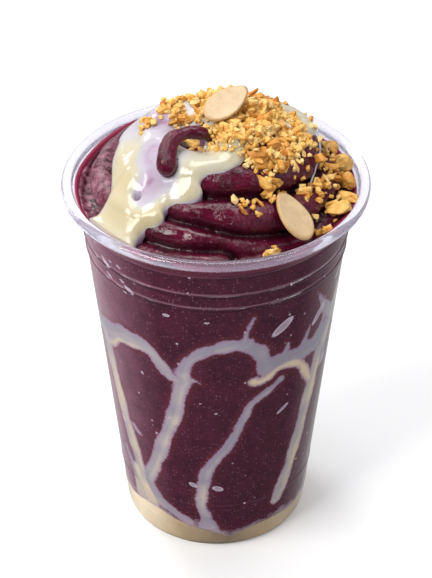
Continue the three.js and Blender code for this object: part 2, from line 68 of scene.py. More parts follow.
# %% Arrays to meshes
def grid_faces(rows, columns):
    """Four corners for each cell of a grid whose last column joins its first."""
    k = np.arange((rows - 1) * columns)
    row, column = k // columns, k % columns
    after = (column + 1) % columns
    return np.stack([row * columns + column, row * columns + after,
                     (row + 1) * columns + after, (row + 1) * columns + column], axis=1)


def cap_faces(first, columns, pole, flip):
    """A fan of triangles between one ring of points and a pole."""
    k = np.arange(columns)
    here, after = first + k, first + (k + 1) % columns
    fan = np.stack([here, after, np.full(columns, pole)], axis=1)
    return fan[:, ::-1] if flip else fan


def mesh_object(name, points, face_lists, smooth=True):
    """A mesh object from points in millimetres and lists of faces."""
    mesh = bpy.data.meshes.new(name)
    faces = [face for part in face_lists for face in part.tolist()]
    mesh.from_pydata((np.asarray(points) * MM).tolist(), [], faces)
    mesh.update()
    mesh.polygons.foreach_set("use_smooth", np.full(len(mesh.polygons), smooth))
    made = bpy.data.objects.new(name, mesh)
    scene.collection.objects.link(made)
    return made


print("a 3 by 4 grid has", len(grid_faces(3, 4)), "faces")


# %% Closed grids
def closed_grid(name, rings, low_pole=None, high_pole=None):
    """Rings of points, each joined to the next, closed by a pole at one or both ends, or onto
    each other where there is no pole."""
    rows, columns = rings.shape[:2]
    points = rings.reshape(-1, 3)
    faces = [grid_faces(rows, columns)]
    if low_pole is not None:
        faces.append(cap_faces(0, columns, len(points), True))
        points = np.vstack([points, low_pole])
    if high_pole is not None:
        faces.append(cap_faces((rows - 1) * columns, columns, len(points), False))
        points = np.vstack([points, high_pole])
    return mesh_object(name, points, faces)


def paint(made, name, values):
    """Stores one number for each point, for a material to read."""
    layer = made.data.attributes.new(name, "FLOAT", "POINT")
    layer.data.foreach_set("value", np.asarray(values, dtype=np.float32))


def face_outwards(made):
    """Turns every face of a closed piece to look outwards."""
    work = bmesh.new()
    work.from_mesh(made.data)
    bmesh.ops.recalc_face_normals(work, faces=work.faces)
    work.to_mesh(made.data)
    work.free()


print("millimetres in a metre:", round(1 / MM))


# %% Finished pieces
def put_in_place(made, material, slot, *nodes):
    """Gives a piece its finish, its body and the solids that it stands for."""
    made.data.materials.clear()
    made.data.materials.append(material)
    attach(made, "root")
    if nodes:
        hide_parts(*nodes)
    print(made.name, len(made.data.polygons), "faces")
    return made


# %% [markdown]
# ## Tools for uneven food
#
# Food is never a plain solid, so most shapes are pushed about by noise and follow given curves.
# We write both ourselves in a few lines of numpy: they then work on whole arrays, and give
# the same food every time. Angles are turned into places by one helper, as the cup is round.

# %% Noise and curves
def soft_noise(points, cell, seed):
    """Value noise from -1 to 1: random numbers on a lattice of the given cell size, blended by
    the smooth weights 3t^2 - 2t^3 along each axis."""
    size = 32
    lattice = np.random.default_rng(seed).uniform(-1, 1, (size, size, size))
    scaled = np.asarray(points) / cell
    base = np.floor(scaled).astype(int)
    share = scaled - base
    share = share * share * (3 - 2 * share)
    total = np.zeros(len(scaled))
    for corner in range(8):
        step = np.array([corner & 1, corner >> 1 & 1, corner >> 2 & 1])
        weight = np.where(step, share, 1 - share).prod(axis=1)
        at = (base + step) % size
        total += weight * lattice[at[:, 0], at[:, 1], at[:, 2]]
    return total


print("noise at three places", soft_noise([[0.1, 0, 0], [0.5, 0, 0], [0.9, 0, 0]], 1.0, 1).round(2))


# %% Angles to places
def polar(angle, radius, z):
    """Points at angles in degrees from the front, at distances from the axis, at heights."""
    turn = np.radians(angle)
    return np.stack(np.broadcast_arrays(radius * np.sin(turn), -radius * np.cos(turn), z), axis=-1)


def unit_ball(lean_up, turn):
    """Points of a ball of radius one: cosine of the lean times the cosine and the sine of the
    turn, and the sine of the lean."""
    flat = np.cos(lean_up)
    return np.stack(np.broadcast_arrays(flat * np.cos(turn), flat * np.sin(turn), np.sin(lean_up)), -1)


print("45 degrees to the right:", polar(45, 1, 0).round(2))


# %% Curves
def through(stations, at):
    """Smooth curve through stations whose first column is the parameter: cubic Hermite pieces,
    with each slope taken from the neighbours on both sides."""
    table = np.asarray(stations, dtype=float)
    x, y = table[:, 0], table[:, 1:]
    slope = np.gradient(y, x, axis=0)
    at = np.clip(at, x[0], x[-1])
    k = np.clip(np.searchsorted(x, at) - 1, 0, len(x) - 2)
    width = (x[k + 1] - x[k])[:, None]
    t = (at - x[k])[:, None] / width
    return ((1 + 2 * t) * (1 - t) ** 2 * y[k] + t * (1 - t) ** 2 * width * slope[k]
            + t * t * (3 - 2 * t) * y[k + 1] + t * t * (t - 1) * width * slope[k + 1])


hill = through([[0, 0], [1, 2], [2, 0]], np.array([0.5, 1, 1.5]))
print("a curve through 0, 2, 0:", hill.ravel().round(2))


# %% Outlines on the plan
def closed_outline(corners, count):
    """Closed smooth curve through corners given as angle and distance from the axis."""
    table = np.array(corners, dtype=float)
    spots = polar(table[:, 0], table[:, 1], 0)[:, :2]
    wrapped = np.vstack([spots[-2:], spots, spots[:2]])
    at = np.linspace(0, len(spots), count, endpoint=False)
    return through(np.column_stack([np.arange(-2, len(spots) + 2), wrapped]), at)


def inside_by(outline, points):
    """Distance of points from a closed outline, positive inside: the nearest approach to any
    side, signed by the even-odd count of sides crossed."""
    start, side = outline, np.roll(outline, -1, axis=0) - outline
    found = []
    for part in np.array_split(points, max(1, len(points) // 4000)):
        offset = part[:, None] - start[None]
        share = np.clip((offset * side).sum(2) / (side ** 2).sum(1), 0, 1)
        near = np.linalg.norm(offset - share[..., None] * side, axis=2).min(axis=1)
        ahead = start + side
        spans = (start[:, 1] > part[:, None, 1]) != (ahead[:, 1] > part[:, None, 1])
        level = np.where(side[:, 1] == 0, 1e-9, side[:, 1])
        reach = side[:, 0] * (part[:, None, 1] - start[:, 1]) / level + start[:, 0]
        odd = (spans & (part[:, None, 0] < reach)).sum(axis=1) % 2
        found.append(np.where(odd, near, -near))
    return np.concatenate(found)


square = np.array([[-1, -1], [1, -1], [1, 1], [-1, 1]])
print("inside a square by", inside_by(square, np.array([[0, 0], [0.5, 0], [2, 0]])))

# %% [markdown]
# ## Camera
#
# The photograph looks down at the cup by about 37 degrees through a long lens. The lens and the
# distance were fitted to the rim and the foot, so they come as named values.

# %% Camera
# Elevation in degrees, then in millimetres the distance, the height it aims at and the lens
camera_elevation = 36.8
camera_distance = 552.5
aim_z = 88.8
lens = 103.5

shot = bpy.data.cameras.new("photo view")
shot.lens = lens
shot.sensor_width = 36
shot.clip_start = 0.01
shot.clip_end = 20
camera = bpy.data.objects.new("photo view", shot)
scene.collection.objects.link(camera)
lean = math.radians(camera_elevation)
back = Vector((0, -math.cos(lean), math.sin(lean)))
camera.location = Vector((0, 0, aim_z * MM)) + back * camera_distance * MM
camera.rotation_mode = "QUATERNION"
camera.rotation_quaternion = (-back).to_track_quat("-Z", "Y")
scene.camera = camera
print("camera at", [round(v, 3) for v in camera.location])

# %% [markdown]
# ## Stage
#
# A white floor, a soft grey surround and large lamps stand in for the studio. Dark wet sorbet
# mirrors whatever is around it, so the surround stays dim and the lamps do most of the work:
# their reflections are the highlights. The floor is left out of those reflections.

# %% Floor
def plain_material(name, colour, roughness):
    """A material of one colour with a weak reflection."""
    material = bpy.data.materials.new(name)
    material.use_nodes = True
    shader = material.node_tree.nodes["Principled BSDF"]
    shader.inputs["Base Color"].default_value = (*colour, 1)
    shader.inputs["Roughness"].default_value = roughness
    shader.inputs["Specular IOR Level"].default_value = 0.2
    return material


floor_half = 2500
floor_corners = np.array([[-1, -1, 0], [1, -1, 0], [1, 1, 0], [-1, 1, 0]]) * floor_half
floor = mesh_object("floor", floor_corners, [np.array([[0, 1, 2, 3]])])
floor.data.materials.append(plain_material("pale floor", (0.93, 0.93, 0.935), 0.7))
floor.visible_glossy = False
print("floor", 2 * floor_half, "mm wide")

# %% Surround
# Three backgrounds: what lights the scene, what the camera sees, and what surfaces mirror
world = bpy.data.worlds.new("surround")
scene.world = world
world.use_nodes = True
sky = world.node_tree
glow = sky.nodes["Background"]
glow.inputs["Color"].default_value = (0.97, 0.98, 1.0, 1)
glow.inputs["Strength"].default_value = 0.27
seen = sky.nodes.new("ShaderNodeBackground")
seen.inputs["Color"].default_value = (0.95, 0.95, 0.955, 1)
# What surfaces mirror: a white backdrop behind the cup and a dim room in front of it
direction = sky.nodes.new("ShaderNodeSeparateXYZ")
sky.links.new(sky.nodes.new("ShaderNodeTexCoord").outputs["Generated"], direction.inputs[0])
fade = sky.nodes.new("ShaderNodeMapRange")
for title, number in (("From Min", 0.05), ("From Max", 0.65), ("To Min", 0.07), ("To Max", 0.6)):
    fade.inputs[title].default_value = number
sky.links.new(direction.outputs["Y"], fade.inputs["Value"])
mirrored = sky.nodes.new("ShaderNodeBackground")
sky.links.new(fade.outputs[0], mirrored.inputs["Strength"])
print("surround glows at", round(glow.inputs["Strength"].default_value, 2))

# %% Which ray meets which background
path = sky.nodes.new("ShaderNodeLightPath")
through_plastic = sky.nodes.new("ShaderNodeMath")
through_plastic.operation = "MAXIMUM"
sky.links.new(path.outputs["Is Camera Ray"], through_plastic.inputs[0])
sky.links.new(path.outputs["Is Transmission Ray"], through_plastic.inputs[1])
lighting = sky.nodes.new("ShaderNodeMixShader")
shown = sky.nodes.new("ShaderNodeMixShader")
sky.links.new(path.outputs["Is Glossy Ray"], lighting.inputs[0])
sky.links.new(glow.outputs[0], lighting.inputs[1])
sky.links.new(mirrored.outputs[0], lighting.inputs[2])
sky.links.new(through_plastic.outputs[0], shown.inputs[0])
sky.links.new(lighting.outputs[0], shown.inputs[1])
sky.links.new(seen.outputs[0], shown.inputs[2])
sky.links.new(shown.outputs[0], sky.nodes["World Output"].inputs["Surface"])
scene.view_settings.view_transform = "Standard"
scene.view_settings.look = "None"
print("colours are shown by", scene.view_settings.view_transform)

# %% [markdown]
# ## Lamps
#
# The photograph shows one broad window at the left, whose reflection makes the milk and the
# sorbet look wet. We use large rectangular lamps, because a lamp's size sets how soft its shadow
# is, and one small lamp for the sharp sparks on wet lumps.

# %% Lamps
def soft_lamp(name, place, aim, width, height, watts, colour=(1, 1, 1)):
    """A rectangular lamp at a place in millimetres, turned to shine at another."""
    lamp = bpy.data.lights.new(name, "AREA")
    lamp.shape = "RECTANGLE"
    lamp.size = width * MM
    lamp.size_y = height * MM
    lamp.energy = watts
    lamp.color = colour
    made = bpy.data.objects.new(name, lamp)
    scene.collection.objects.link(made)
    made.location = Vector(place) * MM
    made.rotation_mode = "QUATERNION"
    made.rotation_quaternion = (Vector(aim) - Vector(place)).to_track_quat("-Z", "Y")
    made.visible_camera = False
    return made


soft_lamp("key", (-500, -300, 740), (0, 0, 110), 460, 400, 6.2, (1, 0.985, 0.96))
soft_lamp("spark", (-330, -420, 700), (0, 0, 120), 90, 90, 0.45)
soft_lamp("overhead", (60, 160, 900), (0, 0, 100), 560, 420, 4.4)
soft_lamp("behind", (-420, 560, 560), (-15, 0, 130), 340, 260, 2.6)
soft_lamp("fill", (620, -420, 420), (0, 0, 90), 420, 520, 1.3, (0.97, 0.98, 1))
print("lamps:", [lamp.name for lamp in bpy.data.lights])

# %% [markdown]
# ## Finishes
#
# Effects that several foods share are node groups: a fine grain, and scattered specks. A group
# gives out only a number that changes over the surface, and each material uses it in its own way.

# %% Shared effects, and the grain
def group_of(name, inputs, outputs):
    """An empty node group with named number or vector sockets."""
    group = bpy.data.node_groups.new(name, "ShaderNodeTree")
    for title, kind, value in inputs:
        socket = group.interface.new_socket(title, in_out="INPUT", socket_type=kind)
        if value is not None:
            socket.default_value = value
    for title in outputs:
        group.interface.new_socket(title, in_out="OUTPUT", socket_type="NodeSocketFloat")
    return group, group.nodes.new("NodeGroupInput"), group.nodes.new("NodeGroupOutput")


# Noise at several scales at once
grain, grain_in, grain_out = group_of(
    "grain", [("Vector", "NodeSocketVector", None), ("Size", "NodeSocketFloat", 500.0)], ["Height"])
coarse = grain.nodes.new("ShaderNodeTexNoise")
coarse.inputs["Detail"].default_value = 5
coarse.inputs["Roughness"].default_value = 0.65
grain.links.new(grain_in.outputs["Vector"], coarse.inputs["Vector"])
grain.links.new(grain_in.outputs["Size"], coarse.inputs["Scale"])
grain.links.new(coarse.outputs["Fac"], grain_out.inputs["Height"])
print(grain.name, "takes", list(grain_in.outputs.keys())[:2])

# %% Specks
# A speck is a round dot at the middle of some cells of a Voronoi pattern.
specks, specks_in, specks_out = group_of(
    "specks", [("Vector", "NodeSocketVector", None), ("Size", "NodeSocketFloat", 400.0),
               ("Radius", "NodeSocketFloat", 0.16), ("Share", "NodeSocketFloat", 0.4)], ["Mask"])
cells = specks.nodes.new("ShaderNodeTexVoronoi")
specks.links.new(specks_in.outputs["Vector"], cells.inputs["Vector"])
specks.links.new(specks_in.outputs["Size"], cells.inputs["Scale"])
pick = specks.nodes.new("ShaderNodeSeparateColor")
specks.links.new(cells.outputs["Color"], pick.inputs[0])
chosen = specks.nodes.new("ShaderNodeMath")
chosen.operation = "LESS_THAN"
specks.links.new(pick.outputs[0], chosen.inputs[0])
specks.links.new(specks_in.outputs["Share"], chosen.inputs[1])
near = specks.nodes.new("ShaderNodeMapRange")
near.inputs["To Min"].default_value = 1
near.inputs["To Max"].default_value = 0
near.inputs["From Min"].default_value = 0.04
specks.links.new(cells.outputs["Distance"], near.inputs["Value"])
specks.links.new(specks_in.outputs["Radius"], near.inputs["From Max"])
both = specks.nodes.new("ShaderNodeMath")
both.operation = "MULTIPLY"
specks.links.new(chosen.outputs[0], both.inputs[0])
specks.links.new(near.outputs[0], both.inputs[1])
specks.links.new(both.outputs[0], specks_out.inputs["Mask"])
print("shared effects:", [group.name for group in bpy.data.node_groups])

# %% [markdown]
# ## Building a finish
#
# A food's colour is layered: a base, a mottle, frost, specks. In the shader editor that is a chain
# of Mix nodes. A small class with one short method for each kind of node lets each recipe below be
# read from top to bottom, in the order in which the layers lie on each other.

# %% Material helpers
class Finish:
    """A material being built: its shader, and short ways to add and join nodes."""

    def __init__(self, name):
        self.material = bpy.data.materials.new(name)
        self.material.use_nodes = True
        self.tree = self.material.node_tree
        self.shader = self.tree.nodes["Principled BSDF"]
        self.place = self.tree.nodes.new("ShaderNodeTexCoord").outputs["Object"]

    def join(self, out, into):
        """Links one socket to another."""
        self.tree.links.new(out, into)

    def plain(self, **values):
        """Sets constant values on the shader's own sockets."""
        for title, value in values.items():
            self.shader.inputs[title.replace("_", " ")].default_value = value

    def effect(self, group, **values):
        """Places a shared effect on the object's own coordinates."""
        node = self.tree.nodes.new("ShaderNodeGroup")
        node.node_tree = group
        self.join(self.place, node.inputs["Vector"])
        for title, value in values.items():
            node.inputs[title].default_value = value
        return node.outputs[0]

    def stored(self, name):
        """The number that was painted on the points under a name."""
        node = self.tree.nodes.new("ShaderNodeAttribute")
        node.attribute_name = name
        return node.outputs["Fac"]

    def ramp(self, value, *stops):
        """Colours between stops, each a place from 0 to 1 and its colour."""
        node = self.tree.nodes.new("ShaderNodeValToRGB")
        stops = sorted(stops)
        while len(node.color_ramp.elements) < len(stops):
            node.color_ramp.elements.new(0.5)
        for element, (at, colour) in zip(node.color_ramp.elements, stops):
            element.position = at
            element.color = (*colour, 1)
        self.join(value, node.inputs[0])
        return node.outputs[0]

    def spread(self, value, low, high, to_low=0.0, to_high=1.0):
        """Stretches low to high onto to_low to to_high in a straight line, and stops there."""
        node = self.tree.nodes.new("ShaderNodeMapRange")
        titles = ("From Min", "From Max", "To Min", "To Max")
        for title, number in zip(titles, (low, high, to_low, to_high)):
            node.inputs[title].default_value = number
        self.join(value, node.inputs["Value"])
        return node.outputs[0]

    def mix(self, share, first, second, kind="MIX"):
        """Blends two colours; each is a socket or a plain colour, and share a socket or number."""
        node = self.tree.nodes.new("ShaderNodeMix")
        node.data_type = "RGBA"
        node.blend_type = kind
        for value, socket in ((share, node.inputs[0]), (first, node.inputs[6]), (second, node.inputs[7])):
            if isinstance(value, tuple):
                socket.default_value = (*value, 1)
            elif isinstance(value, (int, float)):
                socket.default_value = value
            else:
                self.join(value, socket)
        return node.outputs[2]

    def math(self, kind, first, second):
        """Sum or product of two values; each is a socket or a number."""
        node = self.tree.nodes.new("ShaderNodeMath")
        node.operation = kind
        for value, socket in ((first, node.inputs[0]), (second, node.inputs[1])):
            if isinstance(value, (int, float)):
                socket.default_value = value
            else:
                self.join(value, socket)
        return node.outputs[0]

    def bump(self, height, strength, distance):
        """Relief that leans the normal without moving the surface."""
        node = self.tree.nodes.new("ShaderNodeBump")
        node.inputs["Strength"].default_value = strength
        node.inputs["Distance"].default_value = distance
        self.join(height, node.inputs["Height"])
        self.join(node.outputs[0], self.shader.inputs["Normal"])


# %% [markdown]
# ## Cup
#
# The cup is one turned shape: a foot ring, a raised middle, a straight leaning wall with two
# stacking ridges, a faint groove under the flare and two fainter lines near the foot, a short
# flare, and a rolled rim. A Screw modifier could turn it, but we want a number on each ring for
# the finish, so we walk the profile once outside and once inside, and spin it as an array.

# %% Profile of the cup
cup_height = 134.0
rim_radius = 49.0
bead_radius = 1.7
foot_radius = 31.9
heel_radius = 3.0
wall_top_z = 125.0
wall_top_radius = 43.2
flare_top_z = 131.4
flare_top_radius = 45.7
wall = 0.8
kick_up = 2.0
kick_up_radius = 24.0
foot_ring_radius = 25.8
ridges = ((111.8, 0.42, 0.5), (117.2, 0.42, 0.5), (124.4, -0.2, 0.5), (20.8, 0.16, 0.4), (9.6, 0.16, 0.4))


def wall_radius(z):
    """Outside of the wall: a straight lean up to the shoulder, then the flare, with a small
    bell-shaped bump at each ridge."""
    z = np.asarray(z, dtype=float)
    levels = [heel_radius, wall_top_z, flare_top_z]
    lean_out = np.interp(z, levels, [foot_radius, wall_top_radius, flare_top_radius])
    for middle, height, width in ridges:
        lean_out = lean_out + height * np.exp(-((z - middle) / width) ** 2)
    return lean_out


def heel(radius, count):
    """Quarter circle from the foot ring up to the wall: its middle lies one heel radius in from
    the foot's outside and one heel radius up."""
    turn = np.linspace(0, np.pi / 2, count)
    from_axis = foot_radius - heel_radius + radius * np.sin(turn)
    return np.column_stack([from_axis, heel_radius - radius * np.cos(turn)])


def inner_radius(z):
    """Inside of the wall, as far as the contents reach: the outside less the wall, and in the
    heel the root of inner radius squared minus drop squared."""
    z = np.asarray(z, dtype=float)
    inside = heel_radius - wall
    drop = heel_radius - np.minimum(z, heel_radius)
    low = foot_radius - heel_radius + np.sqrt(np.maximum(inside ** 2 - drop ** 2, 0))
    return np.where(z < heel_radius, low, wall_radius(np.maximum(z, heel_radius)) - wall)


print("wall at half height, outside and inside:", wall_radius(67).round(2), inner_radius(67).round(2))

# %% Cup
near_ridges = [middle + width * np.linspace(-2.2, 2.2, 13) for middle, _, width in ridges]
wall_z = np.unique(np.concatenate([np.linspace(heel_radius + 0.3, flare_top_z - 0.4, 48), *near_ridges]))
turn = np.radians(np.linspace(-125, 168, 36))
bead = np.column_stack([rim_radius - bead_radius + bead_radius * np.cos(turn),
                        cup_height - bead_radius + bead_radius * np.sin(turn)])
outside = np.vstack([
    [[8, kick_up], [kick_up_radius - 0.6, kick_up], [kick_up_radius, kick_up - 0.12],
     [foot_ring_radius - 0.2, 0.15], [foot_ring_radius + 0.2, 0]],
    heel(heel_radius, 12),
    np.column_stack([wall_radius(wall_z), wall_z]),
])
inside = np.vstack([
    np.column_stack([wall_radius(wall_z[::-1]) - wall, wall_z[::-1]]),
    heel(heel_radius - wall, 10)[::-1],
    [[foot_ring_radius, wall], [kick_up_radius, kick_up + wall], [8, kick_up + wall]],
])
profile = np.vstack([outside, bead, inside])
segments = 240
round_the_cup = np.arange(segments) * 360 / segments
rings = polar(round_the_cup[None], profile[:, :1], profile[:, 1:])
cup = closed_grid("clear_cup", rings, [[0, 0, kick_up]], [[0, 0, kick_up + wall]])
in_rim = np.clip((profile[:, 1] - 129.5) / 2.0, 0, 1)
paint(cup, "in_rim", np.concatenate([np.repeat(in_rim, segments), [0, 0]]))
print("cup", len(profile), "points round", segments)

# %% [markdown]
# ## Clear plastic
#
# Thin plastic is nearly invisible where it lies against the food. It shows at its rim, where we
# look through much more of it: there it is a little grey and cloudy. So the rim is darker and has
# a share of plain scatter. Real plastic hardly shades what is behind it, but a rendered one does,
# so rays that look for the lamps pass it as if it were clear.

# %% Clear plastic
clear = Finish("clear plastic")
clear.plain(IOR=1.45, Transmission_Weight=1.0)
rim_share = clear.stored("in_rim")
clear.join(clear.mix(rim_share, (0.90, 0.89, 0.92), (0.76, 0.75, 0.82)), clear.shader.inputs["Base Color"])
clear.join(clear.spread(rim_share, 0, 1, 0.04, 0.05), clear.shader.inputs["Roughness"])
wobble = clear.effect(grain, Size=60.0)
clear.bump(clear.math("MULTIPLY", wobble, clear.spread(rim_share, 0, 1, 1.0, 0.15)), 0.15, 0.0004)
lets_light_in = clear.tree.nodes.new("ShaderNodeBsdfTransparent")
lets_light_in.inputs[0].default_value = (0.93, 0.92, 0.94, 1)
cloudy_plastic = clear.tree.nodes.new("ShaderNodeBsdfDiffuse")
cloudy_plastic.inputs["Color"].default_value = (0.56, 0.55, 0.67, 1)
clouded = clear.tree.nodes.new("ShaderNodeMixShader")
clear.join(clear.math("MULTIPLY", rim_share, 0.17), clouded.inputs[0])
clear.join(clear.shader.outputs[0], clouded.inputs[1])
clear.join(cloudy_plastic.outputs[0], clouded.inputs[2])
chooser = clear.tree.nodes.new("ShaderNodeMixShader")
kind_of_ray = clear.tree.nodes.new("ShaderNodeLightPath")
clear.join(kind_of_ray.outputs["Is Shadow Ray"], chooser.inputs[0])
clear.join(clouded.outputs[0], chooser.inputs[1])
clear.join(lets_light_in.outputs[0], chooser.inputs[2])
clear.join(chooser.outputs[0], clear.tree.nodes["Material Output"].inputs["Surface"])
put_in_place(cup, clear.material, "clear_plastic", "cup")

# %% [markdown]
# ## Acai swirl
#
# The nozzle laid a thick rope round and round, inwards and upwards. Soft sorbet sinks into what
# is under it, so the folds melt together with deep creases between. We carry a circle along the
# rope's path, add the filling below it, and let a voxel remesh melt them into one skin. Noise
# along the normals then gives the lumpy, half-frozen surface.

# %% Path of the rope
# Each station is turns from the front, distance from the axis, height and rope radius.
swirl_stations = [
    [0, 36, 124.5, 7],
    [0.45, 37, 124, 7],
    [0.8, 36, 126.5, 7],
    [0.92, 31.5, 126.5, 6.6],
    [1, 31.2, 129.3, 6.9],
    [1.25, 33, 130.6, 7.4],
    [1.55, 33, 131, 7.4],
    [1.8, 32.3, 130.8, 7.4],
    [2, 25.9, 134.8, 7.4],
    [2.25, 25.5, 137, 7.6],
    [2.5, 25.5, 138.8, 7.8],
    [2.75, 25.3, 140.8, 8],
    [2.9, 18.6, 141.8, 7.6],
    [3.1, 18.4, 142.8, 7.4],
    [3.4, 17.5, 145.6, 7.1],
    [3.7, 14.5, 147.6, 6.6],
    [3.92, 11.5, 149.2, 5.6],
]
swirl_turns = 3.92
peak_at = np.array([2.0, 3.0, 150.0])
peak_radius = 8.0
# Tail: share of its length, angle, distance and height
tail_stations = [[0, 20, 5.5, 149], [0.2, -26, 9.5, 154.3], [0.4, -42, 13.5, 155.6], [0.6, -46, 18.8, 154.6],
                 [0.8, -42, 22.4, 152.4], [1, -37, 24.6, 150]]
# Share of its length and radius: thin where it leaves the peak, and swollen at the tip
tail_widths = ((0, 1.9), (0.4, 2.0), (0.75, 2.9), (1, 3.1))


def swirl_path(turns):
    """Centre line and radius of the rope at a number of turns in from the front."""
    distance, z, radius = through(swirl_stations, turns).T
    return polar(-360 * turns, distance, z), radius


def tail_path(share):
    """Centre line of the thin hooked tail that the nozzle left."""
    table = np.array(tail_stations, dtype=float)
    spots = np.column_stack([table[:, 0], polar(table[:, 1], table[:, 2], table[:, 3])])
    return through(spots, share), np.interp(share, *zip(*tail_widths))


print("the rope starts at", swirl_path(np.array([0.0]))[0].round(1)[0])


# %% A tube along a path
def rope(centre, radius, sides=20):
    """A circle carried along a path. Side is tangent cross up, and crown is side cross tangent;
    each end is closed by half a ball, as rings whose radius falls with the cosine of the lean."""
    tangent = np.gradient(centre, axis=0)
    tangent /= np.linalg.norm(tangent, axis=1, keepdims=True)
    leans = np.radians(np.arange(15, 90, 15))
    ends = []
    for at, sign in ((0, -1), (-1, 1)):
        ball = centre[at] + sign * radius[at] * np.sin(leans)[:, None] * tangent[at]
        ends.append((ball, radius[at] * np.cos(leans), np.repeat(tangent[at][None], len(leans), 0)))
    centre = np.vstack([ends[0][0][::-1], centre, ends[1][0]])
    radius = np.concatenate([ends[0][1][::-1], radius, ends[1][1]])
    tangent = np.vstack([ends[0][2], tangent, ends[1][2]])
    side = np.cross(tangent, [0, 0, 1])
    side /= np.linalg.norm(side, axis=1, keepdims=True)
    crown = np.cross(side, tangent)
    turn = np.arange(sides) * 2 * np.pi / sides
    ring = side[:, None] * np.cos(turn)[:, None] + crown[:, None] * np.sin(turn)[:, None]
    return centre[:, None] + radius[:, None, None] * ring


straight = np.array([[0.0, 0, 0], [1, 0, 0], [2, 0, 0]])
print("a straight tube has", len(rope(straight, np.ones(3))), "rings")

# %% [markdown]
# ## From tubes to one skin
#
# Tubes that merely overlap would show knife-sharp seams. Metaballs could join them but lose the
# creases. A voxel remesh keeps both: where two folds meet it leaves a narrow valley, and a little
# smoothing rounds it, as soft sorbet does under its own weight.

# %% Filling under the swirl
core_shoulder = (35.0, 127.0)
core_peak_z = 149.0
level_at_wall = 130.4
rope_turns = np.linspace(0, swirl_turns, 520)
rope_centre, rope_radius = swirl_path(rope_turns)
rope_radius = rope_radius * (1 + 0.025 * np.sin(rope_turns * 23) + 0.02 * np.sin(rope_turns * 61 + 1))
tail_centre, tail_width = tail_path(np.linspace(0, 1, 60))


def level(angle):
    """Height of the sorbet where it meets the wall: its usual level, with two low waves and
    seven small ones round the cup."""
    return level_at_wall + 0.8 * np.sin(np.radians(2 * angle + 40)) + 0.35 * np.sin(np.radians(7 * angle))


around = np.arange(180) * 2.0
skirt = 117.0
body_rings = np.stack([
    polar(around, inner_radius(skirt) - 0.8, skirt + 0 * around),
    polar(around, inner_radius(wall_top_z) - 0.6, wall_top_z + 0 * around),
    polar(around, inner_radius(level(around)) - 0.5, level(around)),
    polar(around, core_shoulder[0] + 4, core_shoulder[1] + 1.2 + 0 * around),
    polar(around, core_shoulder[0], core_shoulder[1] + 0 * around),
])
shapes = [closed_grid("body", body_rings, [[0, 0, skirt]], [[0, 0, core_peak_z]])]
print("filling from", skirt, "to", core_peak_z)

# %% Melt the swirl into one skin
melt_step = 0.53
for label, centre, width in (("fold", rope_centre, rope_radius), ("tail", tail_centre, tail_width)):
    tube = rope(centre, width)
    shapes.append(closed_grid(label, tube, tube[0].mean(0)[None], tube[-1].mean(0)[None]))
lean_up = np.radians(np.linspace(-80, 80, 17))[:, None]
turn = np.radians(np.arange(0, 360, 15))[None]
ball = peak_at + peak_radius * unit_ball(lean_up, turn)
shapes.append(closed_grid("peak", ball, ball[0].mean(0)[None], ball[-1].mean(0)[None]))

for shape in shapes:
    face_outwards(shape)
with bpy.context.temp_override(active_object=shapes[0], selected_editable_objects=shapes):
    bpy.ops.object.join()
melted = shapes[0].modifiers.new("melt", "REMESH")
melted.mode = "VOXEL"
melted.voxel_size = melt_step * MM
soften = shapes[0].modifiers.new("soften", "SMOOTH")
soften.factor = 0.5
soften.iterations = 3
evaluated = shapes[0].evaluated_get(bpy.context.evaluated_depsgraph_get())
skin = bpy.data.meshes.new_from_object(evaluated)
bpy.data.objects.remove(shapes[0])
swirl = bpy.data.objects.new("acai_swirl", skin)
scene.collection.objects.link(swirl)
print("melted skin", len(skin.vertices), "points")

# %% [markdown]
# ## Creases, lumps and wrinkles
#
# Between two folds the sorbet is drawn in deeper than the remesh leaves it, and half-frozen sorbet
# tears into small wrinkles across the fold, most of all on the frosty left. A point lies in a
# crease where its own fold and the next one are equally near, and the skin sinks there.

# %% How near each point is to the folds
crease_depth = 2.5
crease_width = 1.0
wrinkle_length = 1.1
wrinkle_width = 3.2
wall_gap = 0.45
# Two places on the rope this many turns apart lie on different folds.
turns_apart = 0.45
count = len(skin.vertices)
spots = np.empty(count * 3)
skin.vertices.foreach_get("co", spots)
spots = spots.reshape(-1, 3) / MM
normals = np.empty(count * 3)
skin.vertex_normals.foreach_get("vector", normals)
normals = normals.reshape(-1, 3)
to_fold, to_next, fold_at = np.empty(count), np.empty(count), np.empty(count)
for part in np.array_split(np.arange(count), count // 3000 + 1):
    clear_of = np.linalg.norm(spots[part, None] - rope_centre[None], axis=2) - rope_radius[None]
    nearest = clear_of.argmin(axis=1)
    to_fold[part], fold_at[part] = clear_of.min(axis=1), rope_turns[nearest]
    other_fold = np.abs(rope_turns[None] - fold_at[part, None]) > turns_apart
    to_next[part] = np.where(other_fold, clear_of, 99).min(axis=1)
to_tail = np.full(count, 99.0)
for part in np.array_split(np.arange(count), count // 9000 + 1):
    away = np.linalg.norm(spots[part, None] - tail_centre[None], axis=2)
    to_tail[part] = (away - tail_width[None]).min(axis=1)
on_fold = np.clip(1.4 - to_fold, 0, 1) * np.clip((to_tail - 0.4) / 1.5, 0, 1)
crease = np.exp(-np.maximum(to_next - to_fold, 0) / crease_width) * on_fold
print("deepest crease, mm", round(float((crease_depth * crease).max()), 2))

